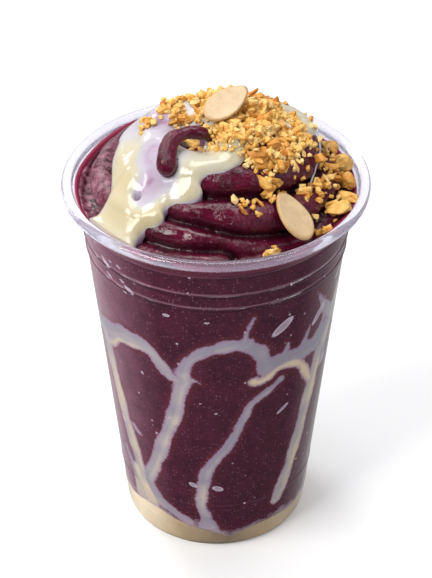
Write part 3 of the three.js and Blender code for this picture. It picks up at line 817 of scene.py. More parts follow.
# %% Lumps on the skin
from_axis = np.hypot(spots[:, 0], spots[:, 1])
along_fold = fold_at * 2 * np.pi * from_axis
wrinkle_spots = np.column_stack(
    [along_fold / wrinkle_length, spots[:, 2] / wrinkle_width, from_axis / wrinkle_width])
left_side = np.clip((-spots[:, 0] - 17) / 8, 0, 1) * np.clip((20 - np.abs(spots[:, 1] + 4)) / 8, 0, 1)
wrinkles = 0.45 * soft_noise(wrinkle_spots, 1.0, 3) + 0.25 * soft_noise(wrinkle_spots, 0.45, 4)
lumpy = 0.42 * soft_noise(spots, 5.2, 1) + 0.14 * soft_noise(spots, 1.9, 2)
lumpy += wrinkles * (0.12 + 0.32 * left_side) * on_fold * (1 - crease) - crease_depth * crease
open_top = np.clip((spots[:, 2] - 124) / 4, 0, 1)
spots += normals * (lumpy * open_top)[:, None]
from_axis = np.hypot(spots[:, 0], spots[:, 1])
room = inner_radius(np.clip(spots[:, 2], 5, 131)) - wall_gap
spots[:, :2] *= np.minimum(1, room / from_axis)[:, None]
skin.vertices.foreach_set("co", (spots * MM).ravel())
skin.update()
skin.polygons.foreach_set("use_smooth", np.full(len(skin.polygons), True))
# The crease is also stored for the finish, which paints shade into it
paint(swirl, "crease", crease)
# Frost on the left, stored for the finish, which also paints there a sheen of the light from the left
paint(swirl, "frost_and_sheen", left_side)
print("swirl is pushed by up to", round(float(np.abs(lumpy).max()), 1), "mm")

# %% [markdown]
# ## Height of the swirl
#
# Milk and nuts lie on the swirl, so we need its height anywhere. Rays could be cast at the mesh,
# but a formula is faster and smoother. The folds are balls strung on the rope, and the height over
# a point is the highest ball surface there, or the filling.

# %% Height over a point
moat = (39.0, 128.4)
edge_radius = 45.0
beads = np.column_stack([rope_centre, rope_radius])[::2]
beads = np.vstack([beads, [*peak_at, peak_radius]])
tail_beads = np.column_stack([tail_centre, tail_width])[::2]


def height(points, balls):
    """Highest of the filling and all balls over each point: centre height plus the square root
    of radius squared minus distance squared."""
    distance = np.hypot(points[:, 0], points[:, 1])
    out_to = [0, core_shoulder[0], moat[0], edge_radius]
    top = np.interp(distance, out_to, [core_peak_z, core_shoulder[1], moat[1], level_at_wall])
    for part in np.array_split(np.arange(len(points)), max(1, len(points) // 5000)):
        near = ((points[part, None, :2] - balls[None, :, :2]) ** 2).sum(2)
        room = balls[None, :, 3] ** 2 - near
        up = np.where(room > 0, balls[None, :, 2] + np.sqrt(np.maximum(room, 0)), 0)
        top[part] = np.maximum(top[part], up.max(axis=1))
    return top


print("height over the axis", height(np.zeros((1, 2)), beads).round(1))

# %% Map of heights
# A square map of that height, which the toppings share: 0.4 mm between samples.
map_step = 0.4
map_half = 46.0
ticks = np.arange(-map_half, map_half + map_step / 2, map_step)
map_x, map_y = np.meshgrid(ticks, ticks, indexing="ij")
map_points = np.column_stack([map_x.ravel(), map_y.ravel()])
bare = height(map_points, beads).reshape(map_x.shape)
with_tail = height(map_points, np.vstack([beads, tail_beads])).reshape(map_x.shape)


def blurred(field, reach):
    """Average with bell-shaped weights over a reach in millimetres, along each axis in turn."""
    steps = int(3 * reach / map_step)
    weights = np.exp(-0.5 * (np.arange(-steps, steps + 1) * map_step / reach) ** 2)
    weights /= weights.sum()

    def along_line(line):
        return np.convolve(np.pad(line, steps, "edge"), weights, "valid")

    for axis in (0, 1):
        field = np.apply_along_axis(along_line, axis, field)
    return field


def on_map(field, points):
    """Value of a map between its samples, by blending the four nearest."""
    u = np.clip((points[:, 0] + map_half) / map_step, 0, len(ticks) - 1.001)
    v = np.clip((points[:, 1] + map_half) / map_step, 0, len(ticks) - 1.001)
    i, j = u.astype(int), v.astype(int)
    s, t = u - i, v - j
    return (field[i, j] * (1 - s) * (1 - t) + field[i + 1, j] * s * (1 - t)
            + field[i, j + 1] * (1 - s) * t + field[i + 1, j + 1] * s * t)


print("highest sorbet", round(float(bare.max()), 1))

# %% [markdown]
# ## Sorbet seen through the wall, and milk run down it
#
# Milk pressed flat against the plastic has no depth of its own: it is a coloured region on the
# side of the filling. We find how far each point of the side lies inside the nearest run of
# milk, raise the runs by a hair, and store that distance, so the material can draw a crisp edge,
# a faint red rim round it, violet where the milk thins out and cream further in.

# %% Routes of the milk on the wall
# Each run is its half width at the start and at the end, how creamy it is, and then its points
# as angle and height.
front_runs = [
    [4.6, 3.4, 0.1, (-98, 90), (-84, 86), (-70, 85), (-60, 87.5), (-50, 90.4)],
    [2.0, 1.4, 0.65, (-66, 80), (-58, 83.5), (-52, 87.2), (-44, 88.6), (-37, 89.2)],
    [3.4, 1.6, 0.2, (-50, 90.6), (-44, 91.2), (-38.5, 91.2), (-32, 89.6), (-27, 85.4),
     (-22.5, 81.4), (-18, 80)],
    [3.4, 2.8, 0.5, (-68, 84), (-65, 76), (-63.5, 70), (-61, 62), (-58.5, 53), (-55.5, 45), (-52.5, 38),
     (-49.5, 30), (-47.5, 22), (-48, 14)],
    [2.4, 2.8, 0.3, (-16, 83), (-15, 79.8), (-17, 77.5), (-18.8, 71.5), (-22, 62), (-26.5, 54),
     (-31, 45.5), (-36, 36.5), (-43, 27)],
    [1.0, 0.3, 0.3, (-15, 80.8), (-11, 81), (-7, 79.6)],
    [1.9, 2.6, 0.05, (-16, 83), (-13.5, 88.5), (-9, 92), (-4, 94.2), (2, 95.6), (8, 96.6), (14, 96)],
    [1.0, 0.6, 0.1, (12, 97), (14, 102.2), (16.5, 107)],
    [2.6, 2.8, 0.05, (12, 96), (19, 93), (22.5, 88.5), (24, 84)],
    [1.9, 1.9, 0.95, (18, 79.3), (20.5, 78.7), (25.5, 79.7), (30, 82.2), (36, 82.6), (43, 80.2),
     (48.5, 75.5), (53.5, 69)],
    [2.6, 4.2, 0.0, (25, 86), (33, 85.6), (42, 85.2), (50, 84.5), (58, 84), (68, 88)],
    [1.6, 0.4, 0.0, (33, 87), (34.5, 90), (35, 92)],
    [1.6, 0.4, 0.0, (45, 88), (47, 92), (48, 94.5)],
    [1.8, 0.4, 0.0, (57, 88), (60, 93), (63, 97)],
    [3.8, 2.7, 0.55, (76, 98), (66, 86), (60, 75), (57, 66), (54.5, 57), (52, 48), (49, 38),
     (45.5, 30), (42, 23), (39.5, 17.5)],
    [3.6, 2.6, 0.0, (56, 86), (62, 80), (66, 72)],
    [0.4, 3.4, 0.3, (92, 118), (86, 110), (80, 103), (76, 98)],
    [0.4, 4.4, 0.1, (-122, 108), (-114, 99), (-106, 93), (-98, 90)],
    [1.5, 1.2, 0.15, (32.5, 77), (30, 75.4), (24, 72.6)],
    [1.4, 2.1, 0.1, (27, 73.9), (18, 69.5), (15, 64.7), (11, 58.2), (7, 51.5), (1, 45.4),
     (-5, 38.7), (-7, 31.9)],
    [2.2, 1.7, 0.45, (-7, 32), (-8, 27), (-8.5, 21), (-6, 16)],
    [1.5, 4.0, 0.05, (-6, 16), (-5, 12), (-4, 8)],
    [1.0, 0.7, 0.5, (-50, 49.5), (-47.5, 47.7), (-45, 47)],
    [1.8, 1.6, 0.05, (-63, 33), (-58, 27), (-54, 20), (-50, 12)],
    [3.0, 1.6, 0.05, (-44, 25), (-37, 19), (-27, 15), (-17, 12)],
    [3.0, 6.5, 0.8, (-53, 27), (-49, 20), (-46, 11)],
]
# The far side carries runs of the same kind, turned round and some of them mirrored: degrees of
# turn, 1 or -1 for mirrored, and which of the front runs.
back_runs = [
    (172, 1, (0, 1, 2, 17)), (198, -1, (4, 6, 7)), (196, -1, (14, 16)), (181, 1, (20, 21)), (205, 1, (23,)),
]
runs = list(front_runs)
for turned_by, mirror, which in back_runs:
    for k in which:
        wide, narrow, creamy, *route = front_runs[k]
        runs.append([wide, narrow, creamy, *[(mirror * angle + turned_by, z) for angle, z in route]])
print("runs of milk on the wall", len(runs))

# %% Edge of the settled milk
# Angle and height of the top of the milk that has settled on the floor of the cup
pool_edge = [(-130, 9), (-95, 9.5), (-75, 10.6), (-60, 11.4), (-47, 13.2), (-37, 13.2), (-28, 11.6),
             (-17, 9.8), (-2, 7.9), (7, 5.3), (16, 7), (32, 8.6), (56, 7.6), (85, 8.5), (120, 7),
             (150, 10), (190, 12), (230, 9)]


def pool_top(angle):
    """Height of the settled milk at the wall: a smooth curve through the stations of its edge."""
    return through(pool_edge, (np.asarray(angle, dtype=float) + 130) % 360 - 130)[:, 0]


print("edge of the settled milk in front", pool_top(np.zeros(1)).round(1))


# %% Distance inside a run
def from_run(run, angle, z):
    """Distance inside a run, in millimetres on the unrolled wall: half width there minus the
    distance to the nearest stretch of its route."""
    start_half, end_half, _, *route = run
    table = np.array(route, dtype=float)
    at = np.linspace(0, len(table) - 1, 6 * len(table))
    path = through(np.column_stack([np.arange(len(table)), table]), at)
    uneven = 1 + 0.10 * np.sin(np.arange(len(path)) * 0.45 + len(table))
    half = np.linspace(start_half, end_half, len(path)) * uneven
    best = np.full(angle.shape, -1e3)
    for k in range(len(path) - 1):
        a, b = path[k], path[k + 1]
        scale = math.radians(1) * float(inner_radius((a[1] + b[1]) / 2))
        side = np.array([(b[0] - a[0]) * scale, b[1] - a[1]])
        across = ((angle - a[0] + 180) % 360 - 180) * scale
        up = z - a[1]
        share = np.clip((across * side[0] + up * side[1]) / (side @ side + 1e-9), 0, 1)
        away = np.hypot(across - share * side[0], up - share * side[1])
        best = np.maximum(best, half[k] + share * (half[k + 1] - half[k]) - away)
    return best


at_start = from_run(runs[0], np.array([-98.0]), np.array([90.0]))
print("inside the first run, where it starts, by", at_start.round(1))

# %% [markdown]
# ## Side of the filling
#
# Runs that meet flow together with a rounded corner. The largest of their distances would leave a
# sharp one, so we take a soft largest: the logarithm of the sum of exponentials. The side is a
# grid over angle and height, which lets us shape and colour it with whole arrays.

# %% One field for all the milk
columns, rows = 400, 226
mid_wall_radius = 38
angle = np.arange(columns) * 360 / columns
share = np.linspace(0, 1, rows)[:, None]
low, high = pool_top(angle), level(angle) + 0.9
side_z = low + share * (high - low)
side_angle = np.broadcast_to(angle, side_z.shape)
gooey = 3.0
fields = [from_run(run, side_angle, side_z) for run in runs]
pull = [np.exp(np.clip(gooey * field, -60, 30)) for field in fields]
joined = np.log(sum(pull) + 1e-30) / gooey
creamy = sum(run[2] * p for run, p in zip(runs, pull)) / (sum(pull) + 1e-30)
print("deepest inside the milk, mm", round(float(joined.max()), 1))

# %% Uneven edges and cream
unrolled = np.column_stack([
    np.radians(side_angle).ravel() * mid_wall_radius, side_z.ravel(), np.zeros(side_z.size)])
wavering = soft_noise(unrolled, 3.4, 7) * 0.32 + soft_noise(unrolled, 1.3, 8) * 0.16
in_milk = np.clip(joined, -9, 9) + wavering.reshape(side_z.shape)
# Cream gathers at the lower and right edges of a run, and the upper and left ones stay violet.
rising = np.gradient(joined, axis=0) / np.gradient(side_z, axis=0)
falling_right = -np.gradient(joined, axis=1) / (math.radians(360 / columns) * inner_radius(side_z))
cream_patches = soft_noise(unrolled, 5.5, 9).reshape(side_z.shape)
creamy = creamy + 0.13 * np.clip(rising, -1, 1) + 0.12 * np.clip(falling_right, -1, 1)
creamy = creamy + 0.22 * cream_patches
print("milk covers", round(float((in_milk > 0).mean()), 2), "of the side")

# %% Body of the filling
# The wall's side, and rings that close it above and below the part that can be seen
filling_foot_z = 9.0
filling_dip_z = 121.0
relief = np.clip(in_milk / 0.8, 0, 1)
side_rings = polar(side_angle, inner_radius(side_z) + 0.08 + 0.12 * relief, side_z)
top_ring = polar(angle, inner_radius(high) - 0.9, high - 0.5)[None]
dip_ring = polar(angle, inner_radius(high) - 3.0, high - 5.0)[None]
under_ring = polar(angle, inner_radius(low) * 0.6, low + 0.7 * (filling_foot_z - low))[None]
filling_rings = np.vstack([under_ring, side_rings, top_ring, dip_ring])
filling = closed_grid("acai_filling", filling_rings, [[0, 0, filling_foot_z]], [[0, 0, filling_dip_z]])
print("filling", filling_rings.shape[0], "rings of", columns, "points")

# %% [markdown]
# ## Air against the wall
#
# Sorbet presses unevenly against the plastic and traps small flat pockets of air, which look like
# pale rings. They are too shallow to be worth shaping, so each is an ellipse whose nearness is
# stored for the finish. The large ones in front are where the photograph has them, those at the
# back are a guess, and the small ones are strewn at random.

# %% Where the air pockets are
# Each is its angle, height, half length, half width and lean in degrees.
pockets = [(31, 100.1, 4.4, 1.6, 38), (54, 96.9, 4.2, 1.3, 48), (-22, 107.3, 1.2, 0.6, 0),
           (-4, 106.3, 0.9, 0.4, 0), (-40, 112.3, 2.2, 0.6, -25), (-54, 117.9, 2.6, 0.7, -35),
           (36, 62.5, 2.6, 0.7, 35), (-38, 77.9, 0.8, 0.5, -60), (-13, 31.2, 1.6, 0.9, -30),
           (1, 30.1, 1.9, 1.1, -20), (-60, 48, 1.6, 1.0, -60), (-33, 52, 0.5, 0.5, 0)]
rng = np.random.default_rng(12)
for _ in range(46):
    size = rng.uniform(0.16, 0.38)
    middle, z = rng.uniform(-180, 180), rng.uniform(18, 126)
    pockets.append((middle, z, size * rng.uniform(1, 2.2), size, rng.uniform(-60, 60)))
for _ in range(9):
    middle, z = rng.uniform(-66, -38), rng.uniform(104, 127)
    pockets.append((middle, z, rng.uniform(0.8, 1.8), 0.4, rng.uniform(-55, -20)))
for far in (70, 118, 163, 205, 238, 281):
    pockets.append((far, 98 + 11 * math.sin(far), 2.4, 0.8, 35))
    pockets.append((far + 14, 58 + 20 * math.sin(2 * far), 1.3, 0.6, -20))
print("air pockets", len(pockets))

# %% Nearness to a pocket
# From 0 outside to 1.6 in the middle: 1.6 less the distance, where 1 is the ellipse's edge
pocket = np.zeros(side_z.shape)
for middle, z, long_half, short_half, tilt in pockets:
    across = np.radians((side_angle - middle + 180) % 360 - 180) * inner_radius(z)
    up = side_z - z
    c, s = math.cos(math.radians(tilt)), math.sin(math.radians(tilt))
    reach = np.hypot((across * c + up * s) / long_half, (up * c - across * s) / short_half)
    pocket = np.maximum(pocket, np.clip(1.6 - reach, 0, 1.6))
print("pockets cover", round(float((pocket > 0.6).mean()), 3), "of the side")


# %% Numbers for the finish of the side
def over_all(values, under, top, dip):
    """Values for the side grid, with plain ones for the closing rings and the two poles."""
    closing = [np.full(columns, top), np.full(columns, dip), [under, dip]]
    return np.concatenate([np.full(columns, under), values.ravel(), *closing])


paint(filling, "in_milk", over_all(in_milk, 5, -9, -9))
paint(filling, "creamy", over_all(creamy, 0.8, 0, 0))
paint(filling, "pocket", over_all(pocket, 0, 0, 0))
above_pool = side_z - low
paint(filling, "above_pool", over_all(above_pool, 0, 99, 99))
paint(filling, "below_edge", over_all(high - side_z, 99, 0, 9))
# Slope of the ridges: the upper side of each catches the light and the lower side is in shade
shaded_ridges = ((111.8, 0.42, 0.62), (117.2, 0.42, 0.62), (124.4, 0.3, 0.6), (20.8, 0.2, 0.5))
tallest = 0.42
on_ridge = 0
for middle, tall, width in shaded_ridges:
    off = side_z - middle
    on_ridge = on_ridge + tall / tallest * off / width * np.exp(-(off / width) ** 2)
paint(filling, "on_ridge", over_all(on_ridge, 0, 0, 0))
# Painted reflection of the window on the plastic, as angle and share: most at the left, a little at the
# right
reflection_round = ((-180, 0.04), (-125, 0.08), (-100, 0.22), (-84, 0.6), (-70, 0.72), (-57, 0.46),
               (-46, 0.28), (-36, 0.12), (-26, 0), (38, 0), (50, 0.1), (66, 0.12), (110, 0.1),
               (180, 0.04))
window_reflection = np.interp((side_angle + 180) % 360 - 180, *zip(*reflection_round))
paint(filling, "window_reflection", over_all(window_reflection, 0, 0, 0))
print("stored on the side:", [layer.name for layer in filling.data.attributes if layer.data_type == "FLOAT"])

# %% [markdown]
# ## Milk on the floor of the cup
#
# The milk that ran down has settled in the heel, with a wavy upper edge. It touches the plastic,
# so it is built from the inside of the cup's own profile, pushed a hair into the wall, to leave no
# slit of air that would shine. The sorbet lies on its top.

# %% Milk on the floor of the cup
columns_pool = 240
angle_pool = np.arange(columns_pool) * 360 / columns_pool
top_pool = pool_top(angle_pool)
reach_in = 0.15


def pool_ring(radius, z):
    """A level ring of points round the axis."""
    return polar(angle_pool, radius, z + 0 * angle_pool)


curve_in = heel(heel_radius - wall + reach_in, 10)
pool_floor_z = kick_up + wall - reach_in
pool_rings = [pool_ring(kick_up_radius, pool_floor_z), pool_ring(foot_ring_radius, wall - reach_in)]
pool_rings += [pool_ring(r, z) for r, z in curve_in]
for part in np.linspace(0.1, 1, 14):
    z = heel_radius + part * (top_pool - heel_radius)
    pool_rings.append(polar(angle_pool, inner_radius(z) + reach_in, z))
pool_rings.append(polar(angle_pool, inner_radius(top_pool) * 0.97, top_pool - 0.2))
under_sorbet = top_pool + 0.7 * (filling_foot_z - top_pool) - 0.3
pool_rings.append(polar(angle_pool, inner_radius(top_pool) * 0.6, under_sorbet))
pool_poles = [[0, 0, pool_floor_z]], [[0, 0, filling_foot_z - 0.3]]
pool = closed_grid("milk_pool_soft", np.stack(pool_rings), *pool_poles)
print("settled milk reaches", round(float(top_pool.max()), 1), "mm")

# %% Shade of the settled milk
# How pale the milk is round the cup, as angle and share: painted light, paler at the left where most light
# gets into it, and darker where it is thin and the sorbet shows through
lit_and_thick_round = ((-180, 0.5), (-110, 0.55), (-78, 0.9), (-55, 1.0), (-45, 0.84), (-32, 0.64),
              (-16, 0.42), (0, 0.24), (8, 0.17), (18, 0.34), (30, 0.47), (45, 0.6), (60, 0.55),
              (180, 0.5))
signed_angle = (angle_pool + 180) % 360 - 180
lit_and_thick = np.interp(signed_angle, *zip(*lit_and_thick_round))
paint(pool, "pale", np.concatenate([np.tile(lit_and_thick, len(pool_rings)), [0.5, 0.5]]))
print("paleness from", round(float(lit_and_thick.min()), 2), "to", round(float(lit_and_thick.max()), 2))

# %% [markdown]
# ## Sorbet and milk finishes
#
# Acai is nearly black where it is smooth and wet, and mauve where frost and tiny bubbles scatter
# the light. So its colour, its gloss and its relief all follow the same fine grain.

# %% Sorbet on the swirl
def sorbet(name, dark, middle, pale):
    """Base finish for acai, used open to the air and again behind the plastic: dark to middle
    with the coarse grain, and pale where the fine grain is high."""
    made = Finish(name)
    mottle = made.effect(grain, Size=170.0)
    fine = made.effect(grain, Size=1100.0)
    colour = made.ramp(mottle, (0.3, dark), (0.62, middle))
    frost = made.spread(fine, 0.52, 0.78)
    colour = made.mix(frost, colour, pale)
    return made, mottle, fine, colour


open_acai, mottle, fine, colour = sorbet(
    "wet acai", (0.032, 0.0013, 0.0070), (0.096, 0.0052, 0.024), (0.170, 0.018, 0.050))
# Painted shade: the creases are darkened nearly to black, where little light reaches into them
crease_shade = open_acai.math("MULTIPLY", open_acai.stored("crease"), 0.85)
colour = open_acai.mix(crease_shade, colour, (0.008, 0.0004, 0.002))
# Frost and painted sheen: pale mauve patches on the left, where the light from the left glints on frost
frost_and_sheen_patches = open_acai.spread(open_acai.effect(grain, Size=380.0), 0.42, 0.68)
frost = open_acai.math("MULTIPLY", open_acai.stored("frost_and_sheen"), frost_and_sheen_patches)
colour = open_acai.mix(frost, colour, (0.34, 0.145, 0.20))
crystals = open_acai.effect(specks, Size=620.0, Radius=0.2, Share=0.10)
colour = open_acai.mix(open_acai.math("MULTIPLY", crystals, 0.7), colour, (0.50, 0.28, 0.36))
open_acai.join(colour, open_acai.shader.inputs["Base Color"])
rough_grain = open_acai.spread(fine, 0.35, 0.7, 0.07, 0.20)
rough_crease = open_acai.math("MULTIPLY", open_acai.stored("crease"), 0.05)
gloss = open_acai.math("ADD", rough_grain, rough_crease)
open_acai.join(gloss, open_acai.shader.inputs["Roughness"])
open_acai.plain(Subsurface_Weight=0.08, Subsurface_Scale=0.001, IOR=1.42)
open_acai.shader.inputs["Subsurface Radius"].default_value = (1.6, 0.3, 0.5)
fine_relief = open_acai.math("MULTIPLY", fine, 0.5)
coarse_relief = open_acai.math("MULTIPLY", open_acai.effect(grain, Size=420.0), 1.5)
relief_grain = open_acai.math("ADD", fine_relief, coarse_relief)
icy = open_acai.spread(open_acai.effect(grain, Size=75.0), 0.42, 0.6, 0.35, 1.7)
open_acai.bump(open_acai.math("MULTIPLY", relief_grain, icy), 0.42, 0.0006)
put_in_place(swirl, open_acai.material, "acai", "acai")

# %% [markdown]
# ## What shows through the plastic
#
# Behind the wall the sorbet has little gloss of its own, since it touches the plastic. It is flatter
# and greyer there, and sprinkled with seeds and bubbles. The finish is laid in layers: sorbet, the
# painted reflection of the window at the left, seeds, the shading of the ridges, bubbles, then the
# milk with its edges, and the air pockets last. Painting a picture would tie it to one view, so
# all of it follows stored numbers.

# %% Sorbet behind the plastic
walled, mottle, fine, colour = sorbet(
    "acai behind plastic", (0.033, 0.0015, 0.0100), (0.067, 0.0050, 0.0225), (0.130, 0.025, 0.056))
flare = walled.math("MULTIPLY", walled.spread(walled.stored("below_edge"), 7.4, 6.0), 0.8)
colour = walled.mix(flare, colour, (0.165, 0.030, 0.062))
# Painted reflection: a broad pale glare of the window over the left of the plastic, mottled a little
reflection_veil = walled.math("MULTIPLY", walled.stored("window_reflection"), walled.spread(mottle, 0.3, 0.7, 0.75, 1.2))
colour = walled.mix(reflection_veil, colour, (0.43, 0.22, 0.30))
seeds = walled.effect(specks, Size=640.0, Radius=0.26, Share=0.32)
colour = walled.mix(walled.math("MULTIPLY", seeds, 0.65), colour, (0.020, 0.002, 0.007))
film = walled.spread(walled.stored("below_edge"), 2.2, 0.2)
colour = walled.mix(film, colour, (0.19, 0.008, 0.038))
lit_ridge = walled.spread(walled.stored("on_ridge"), 0.08, 0.4, 0, 0.5)
colour = walled.mix(lit_ridge, colour, (0.34, 0.19, 0.25))
shaded_ridge = walled.spread(walled.stored("on_ridge"), -0.08, -0.4, 0, 0.75)
colour = walled.mix(shaded_ridge, colour, (0.022, 0.002, 0.007))
specks_fine = walled.effect(specks, Size=980.0, Radius=0.32, Share=0.36)
specks_big = walled.effect(specks, Size=230.0, Radius=0.12, Share=0.30)
colour = walled.mix(walled.math("MULTIPLY", specks_fine, 0.5), colour, (0.42, 0.21, 0.30))
colour = walled.mix(walled.math("MULTIPLY", specks_big, 0.85), colour, (0.85, 0.72, 0.76))
print("layers of the sorbet:", len(walled.tree.nodes), "nodes")

# %% Milk and air behind the plastic
edge = walled.math("ADD", walled.stored("in_milk"), walled.spread(fine, 0.3, 0.7, -0.35, 0.35))
red_rim = walled.math("MULTIPLY", walled.spread(edge, -2.2, -0.5), walled.spread(edge, 0.2, -0.3))
colour = walled.mix(walled.math("MULTIPLY", red_rim, 0.4), colour, (0.145, 0.022, 0.030))
milk_tones = ((0.0, (0.31, 0.29, 0.34)), (0.40, (0.43, 0.395, 0.39)), (0.9, (0.68, 0.57, 0.39)))
milk_shade = walled.ramp(walled.stored("creamy"), *milk_tones)
thin_shade = walled.mix(walled.spread(edge, 0.0, 1.3), (0.34, 0.22, 0.33), milk_shade)
colour = walled.mix(walled.spread(edge, -0.25, 0.35), colour, thin_shade)
off_pool = walled.math("ADD", walled.stored("above_pool"), walled.spread(mottle, 0.3, 0.7, -2.5, 2.5))
haze = walled.spread(off_pool, 3.2, 0.2)
colour = walled.mix(walled.math("MULTIPLY", haze, 0.8), colour, (0.42, 0.33, 0.38))
ring_tones = ((0.30, (0, 0, 0)), (0.42, (1, 1, 1)), (0.62, (0.6, 0.6, 0.6)), (1.0, (0.5, 0.5, 0.5)))
ring = walled.ramp(walled.spread(walled.stored("pocket"), 0, 1.6), *ring_tones)
colour = walled.mix(ring, colour, (0.62, 0.52, 0.60))
walled.join(colour, walled.shader.inputs["Base Color"])
walled.plain(Roughness=0.55, Subsurface_Weight=0.1, Subsurface_Scale=0.0008)
walled.shader.inputs["Specular IOR Level"].default_value = 0.25
walled.bump(fine, 0.3, 0.0003)
put_in_place(filling, walled.material, "acai", "acai")

# %% [markdown]
# ## Condensed milk
#
# Condensed milk is glossy and cream where it is deep. Where it is thin the dark sorbet shows
# through, which makes it violet. True depth of colour would need slow rays inside the milk, so
# we store how deep it is at each point and let a ramp choose the colour.

# %% Poured milk
poured = Finish("condensed milk")
cloudy = poured.effect(grain, Size=90.0)
depth = poured.math("ADD", poured.stored("thick"), poured.spread(cloudy, 0.3, 0.7, -0.25, 0.25))
thin_tones = ((0.0, (0.20, 0.08, 0.14)), (0.10, (0.41, 0.32, 0.42)), (0.24, (0.46, 0.41, 0.49)))
deep_tones = ((0.38, (0.465, 0.445, 0.475)), (0.54, (0.49, 0.455, 0.36)), (1.0, (0.51, 0.425, 0.245)))
milk_colour = poured.ramp(poured.spread(depth, 0.0, 3.0), *thin_tones, *deep_tones)
poured.join(milk_colour, poured.shader.inputs["Base Color"])
poured.plain(Roughness=0.10, Subsurface_Weight=0.15, Subsurface_Scale=0.0012, IOR=1.47)
poured.bump(cloudy, 0.12, 0.0006)
print("poured milk:", len(poured.tree.nodes), "nodes")

# %% Settled milk
floor_milk = Finish("settled milk")
cloudy = floor_milk.effect(grain, Size=70.0)
uneven = floor_milk.spread(cloudy, 0.3, 0.7, -0.08, 0.08)
# The stored paleness is partly painted light: paler at the left, where most light gets into the milk
paleness = floor_milk.math("ADD", floor_milk.stored("pale"), uneven)
floor_tones = ((0.1, (0.17, 0.125, 0.085)), (0.5, (0.47, 0.36, 0.215)), (1.0, (0.88, 0.77, 0.58)))
floor_milk.join(floor_milk.ramp(paleness, *floor_tones), floor_milk.shader.inputs["Base Color"])
floor_milk.plain(Roughness=0.4, Subsurface_Weight=0.15, Subsurface_Scale=0.001)
floor_milk.bump(cloudy, 0.15, 0.0004)
put_in_place(pool, floor_milk.material, "milk", "milk_pool")

# %% [markdown]
# ## Milk over the top
#
# Condensed milk is thick: it fills the creases, rounds off at its edge and keeps a bead there.
# So its top is the swirl's height, smoothed, plus a depth that rises from nothing at the outline
# as a quarter circle does. Where it lies thin over the dark sorbet it looks violet.

# %% Sheet of milk
bare_soft = blurred(bare, 2.0)
settled_map = blurred(np.maximum(blurred(bare, 3.2), bare), 1.8)
print("creases are bridged by up to", round(float((settled_map - bare).max()), 1), "mm")


def milk_sheet(name, corners, middle, depth_of, holes=(), rings_across=96, spokes=320):
    """Points run from the middle of the pour out to its outline, share by share, and back
    underneath. Depth is that of the pour times the square root of 1 - (1 - d / bead)^2, where d
    is the distance inside the outline. A hole is its place on the plan and its radius: there the
    sheet dips below the sorbet. Gives the piece, and the plan and height of its upper points."""
    bead = 2.2
    outline = closed_outline(corners, spokes)
    shares = np.linspace(0.01, 1, rings_across) ** 0.85
    plan = np.asarray(middle) + shares[:, None, None] * (outline - middle)
    flat = plan.reshape(-1, 2)
    inside_mm = np.maximum(inside_by(outline, flat), 0)
    rise = np.sqrt(1 - (1 - np.clip(inside_mm / bead, 0, 1)) ** 2)
    depth = depth_of(flat) * rise
    colour_depth = depth_of(flat) * np.clip(inside_mm / 0.3, 0.1, 1)
    sunk = np.zeros(len(flat))
    for hole_x, hole_y, hole_radius in holes:
        from_hole = np.hypot(flat[:, 0] - hole_x, flat[:, 1] - hole_y)
        gone = np.clip((hole_radius + 0.5 - from_hole) / 0.8, 0, 1)
        depth = depth * (1 - gone)
        colour_depth = colour_depth * (1 - gone)
        sunk = np.maximum(sunk, gone)
    # The sheet ends at the wall
    limit = float(inner_radius(129.0)) - 0.2
    from_axis = np.hypot(*flat.T)
    flat = flat * np.minimum(1, limit / from_axis)[:, None]
    # Inside it bridges the creases, and near its edge it clings to the sorbet
    settled_z = np.maximum(on_map(settled_map, flat), on_map(bare, flat) - 0.2)
    close_to_edge = on_map(bare_soft, flat)
    smooth_z = close_to_edge + (settled_z - close_to_edge) * np.clip(inside_mm / 2.5, 0, 1)
    waves = 0.12 * soft_noise(np.column_stack([flat, 0 * flat[:, 0]]), 6.0, 21)
    top = smooth_z + depth + waves * rise - 0.12 * (1 - rise)
    top += (np.minimum(on_map(bare, flat) - 1.5, top) - top) * sunk
    # The underside is buried in the sorbet
    bottom = np.minimum(on_map(bare, flat) - 1.5, top) - 0.6
    upper = np.column_stack([flat, top]).reshape(rings_across, spokes, 3)
    lower = np.column_stack([flat, bottom]).reshape(rings_across, spokes, 3)[::-1]
    poles = [np.append(middle, top[:spokes].mean())]
    base = [np.append(middle, bottom[:spokes].mean())]
    made = closed_grid(name, np.vstack([upper, lower]), poles, base)
    stored = colour_depth.reshape(rings_across, spokes)
    paint(made, "thick", np.concatenate([stored.ravel(), stored[::-1].ravel(), [1.0, 1.0]]))
    face_outwards(made)
    return made, flat, top


# %% Outline and depth of the pour
milk_corners = [
    (-35.5, 46), (-36, 40.5), (-34.5, 38), (-29.5, 36.3), (-27.5, 34), (-29, 32.4), (-26.5, 30.8),
    (-19, 29.6), (-12, 28), (-9, 26), (-11, 24.5), (-9, 23.4), (-4, 22.4), (6, 21.6), (16, 20.2),
    (29, 18), (38, 14), (60, 8), (170, 8), (-140, 20), (-133, 28.5), (-112, 32.5), (-98, 31.2),
    (-86, 32.5), (-72, 34), (-64, 36.5), (-62, 41), (-61, 46),
]
# Where the milk has gathered or run thin: place on the plan, reach, and how much is added
gathered = [(-29, -8, 6, 0.9), (-28, -16, 5, 0.9), (-31, -24, 7, 1.0), (-9, -25, 6, 1.0), (-17, -29, 5, 0.9),
            (3, -15, 7, 1.0), (-22, -31, 5, 0.8), (-27, -29, 6, 0.6)]
run_thin = [(-20.4, -18.4, 3.4, 1.0), (-23.9, -21, 2.6, 0.9), (-21, 6, 7, 0.75), (-18.5, -11, 4.5, 0.9),
            (-11, -17, 4.5, 0.35), (-14, 2, 7, 0.7), (-14, -22, 4, 0.9), (-21, -12, 4, 0.7),
            (-19, -24, 3.5, 0.9), (-12, -26.5, 2.5, 0.7), (-23, -25, 3.2, 0.8)]


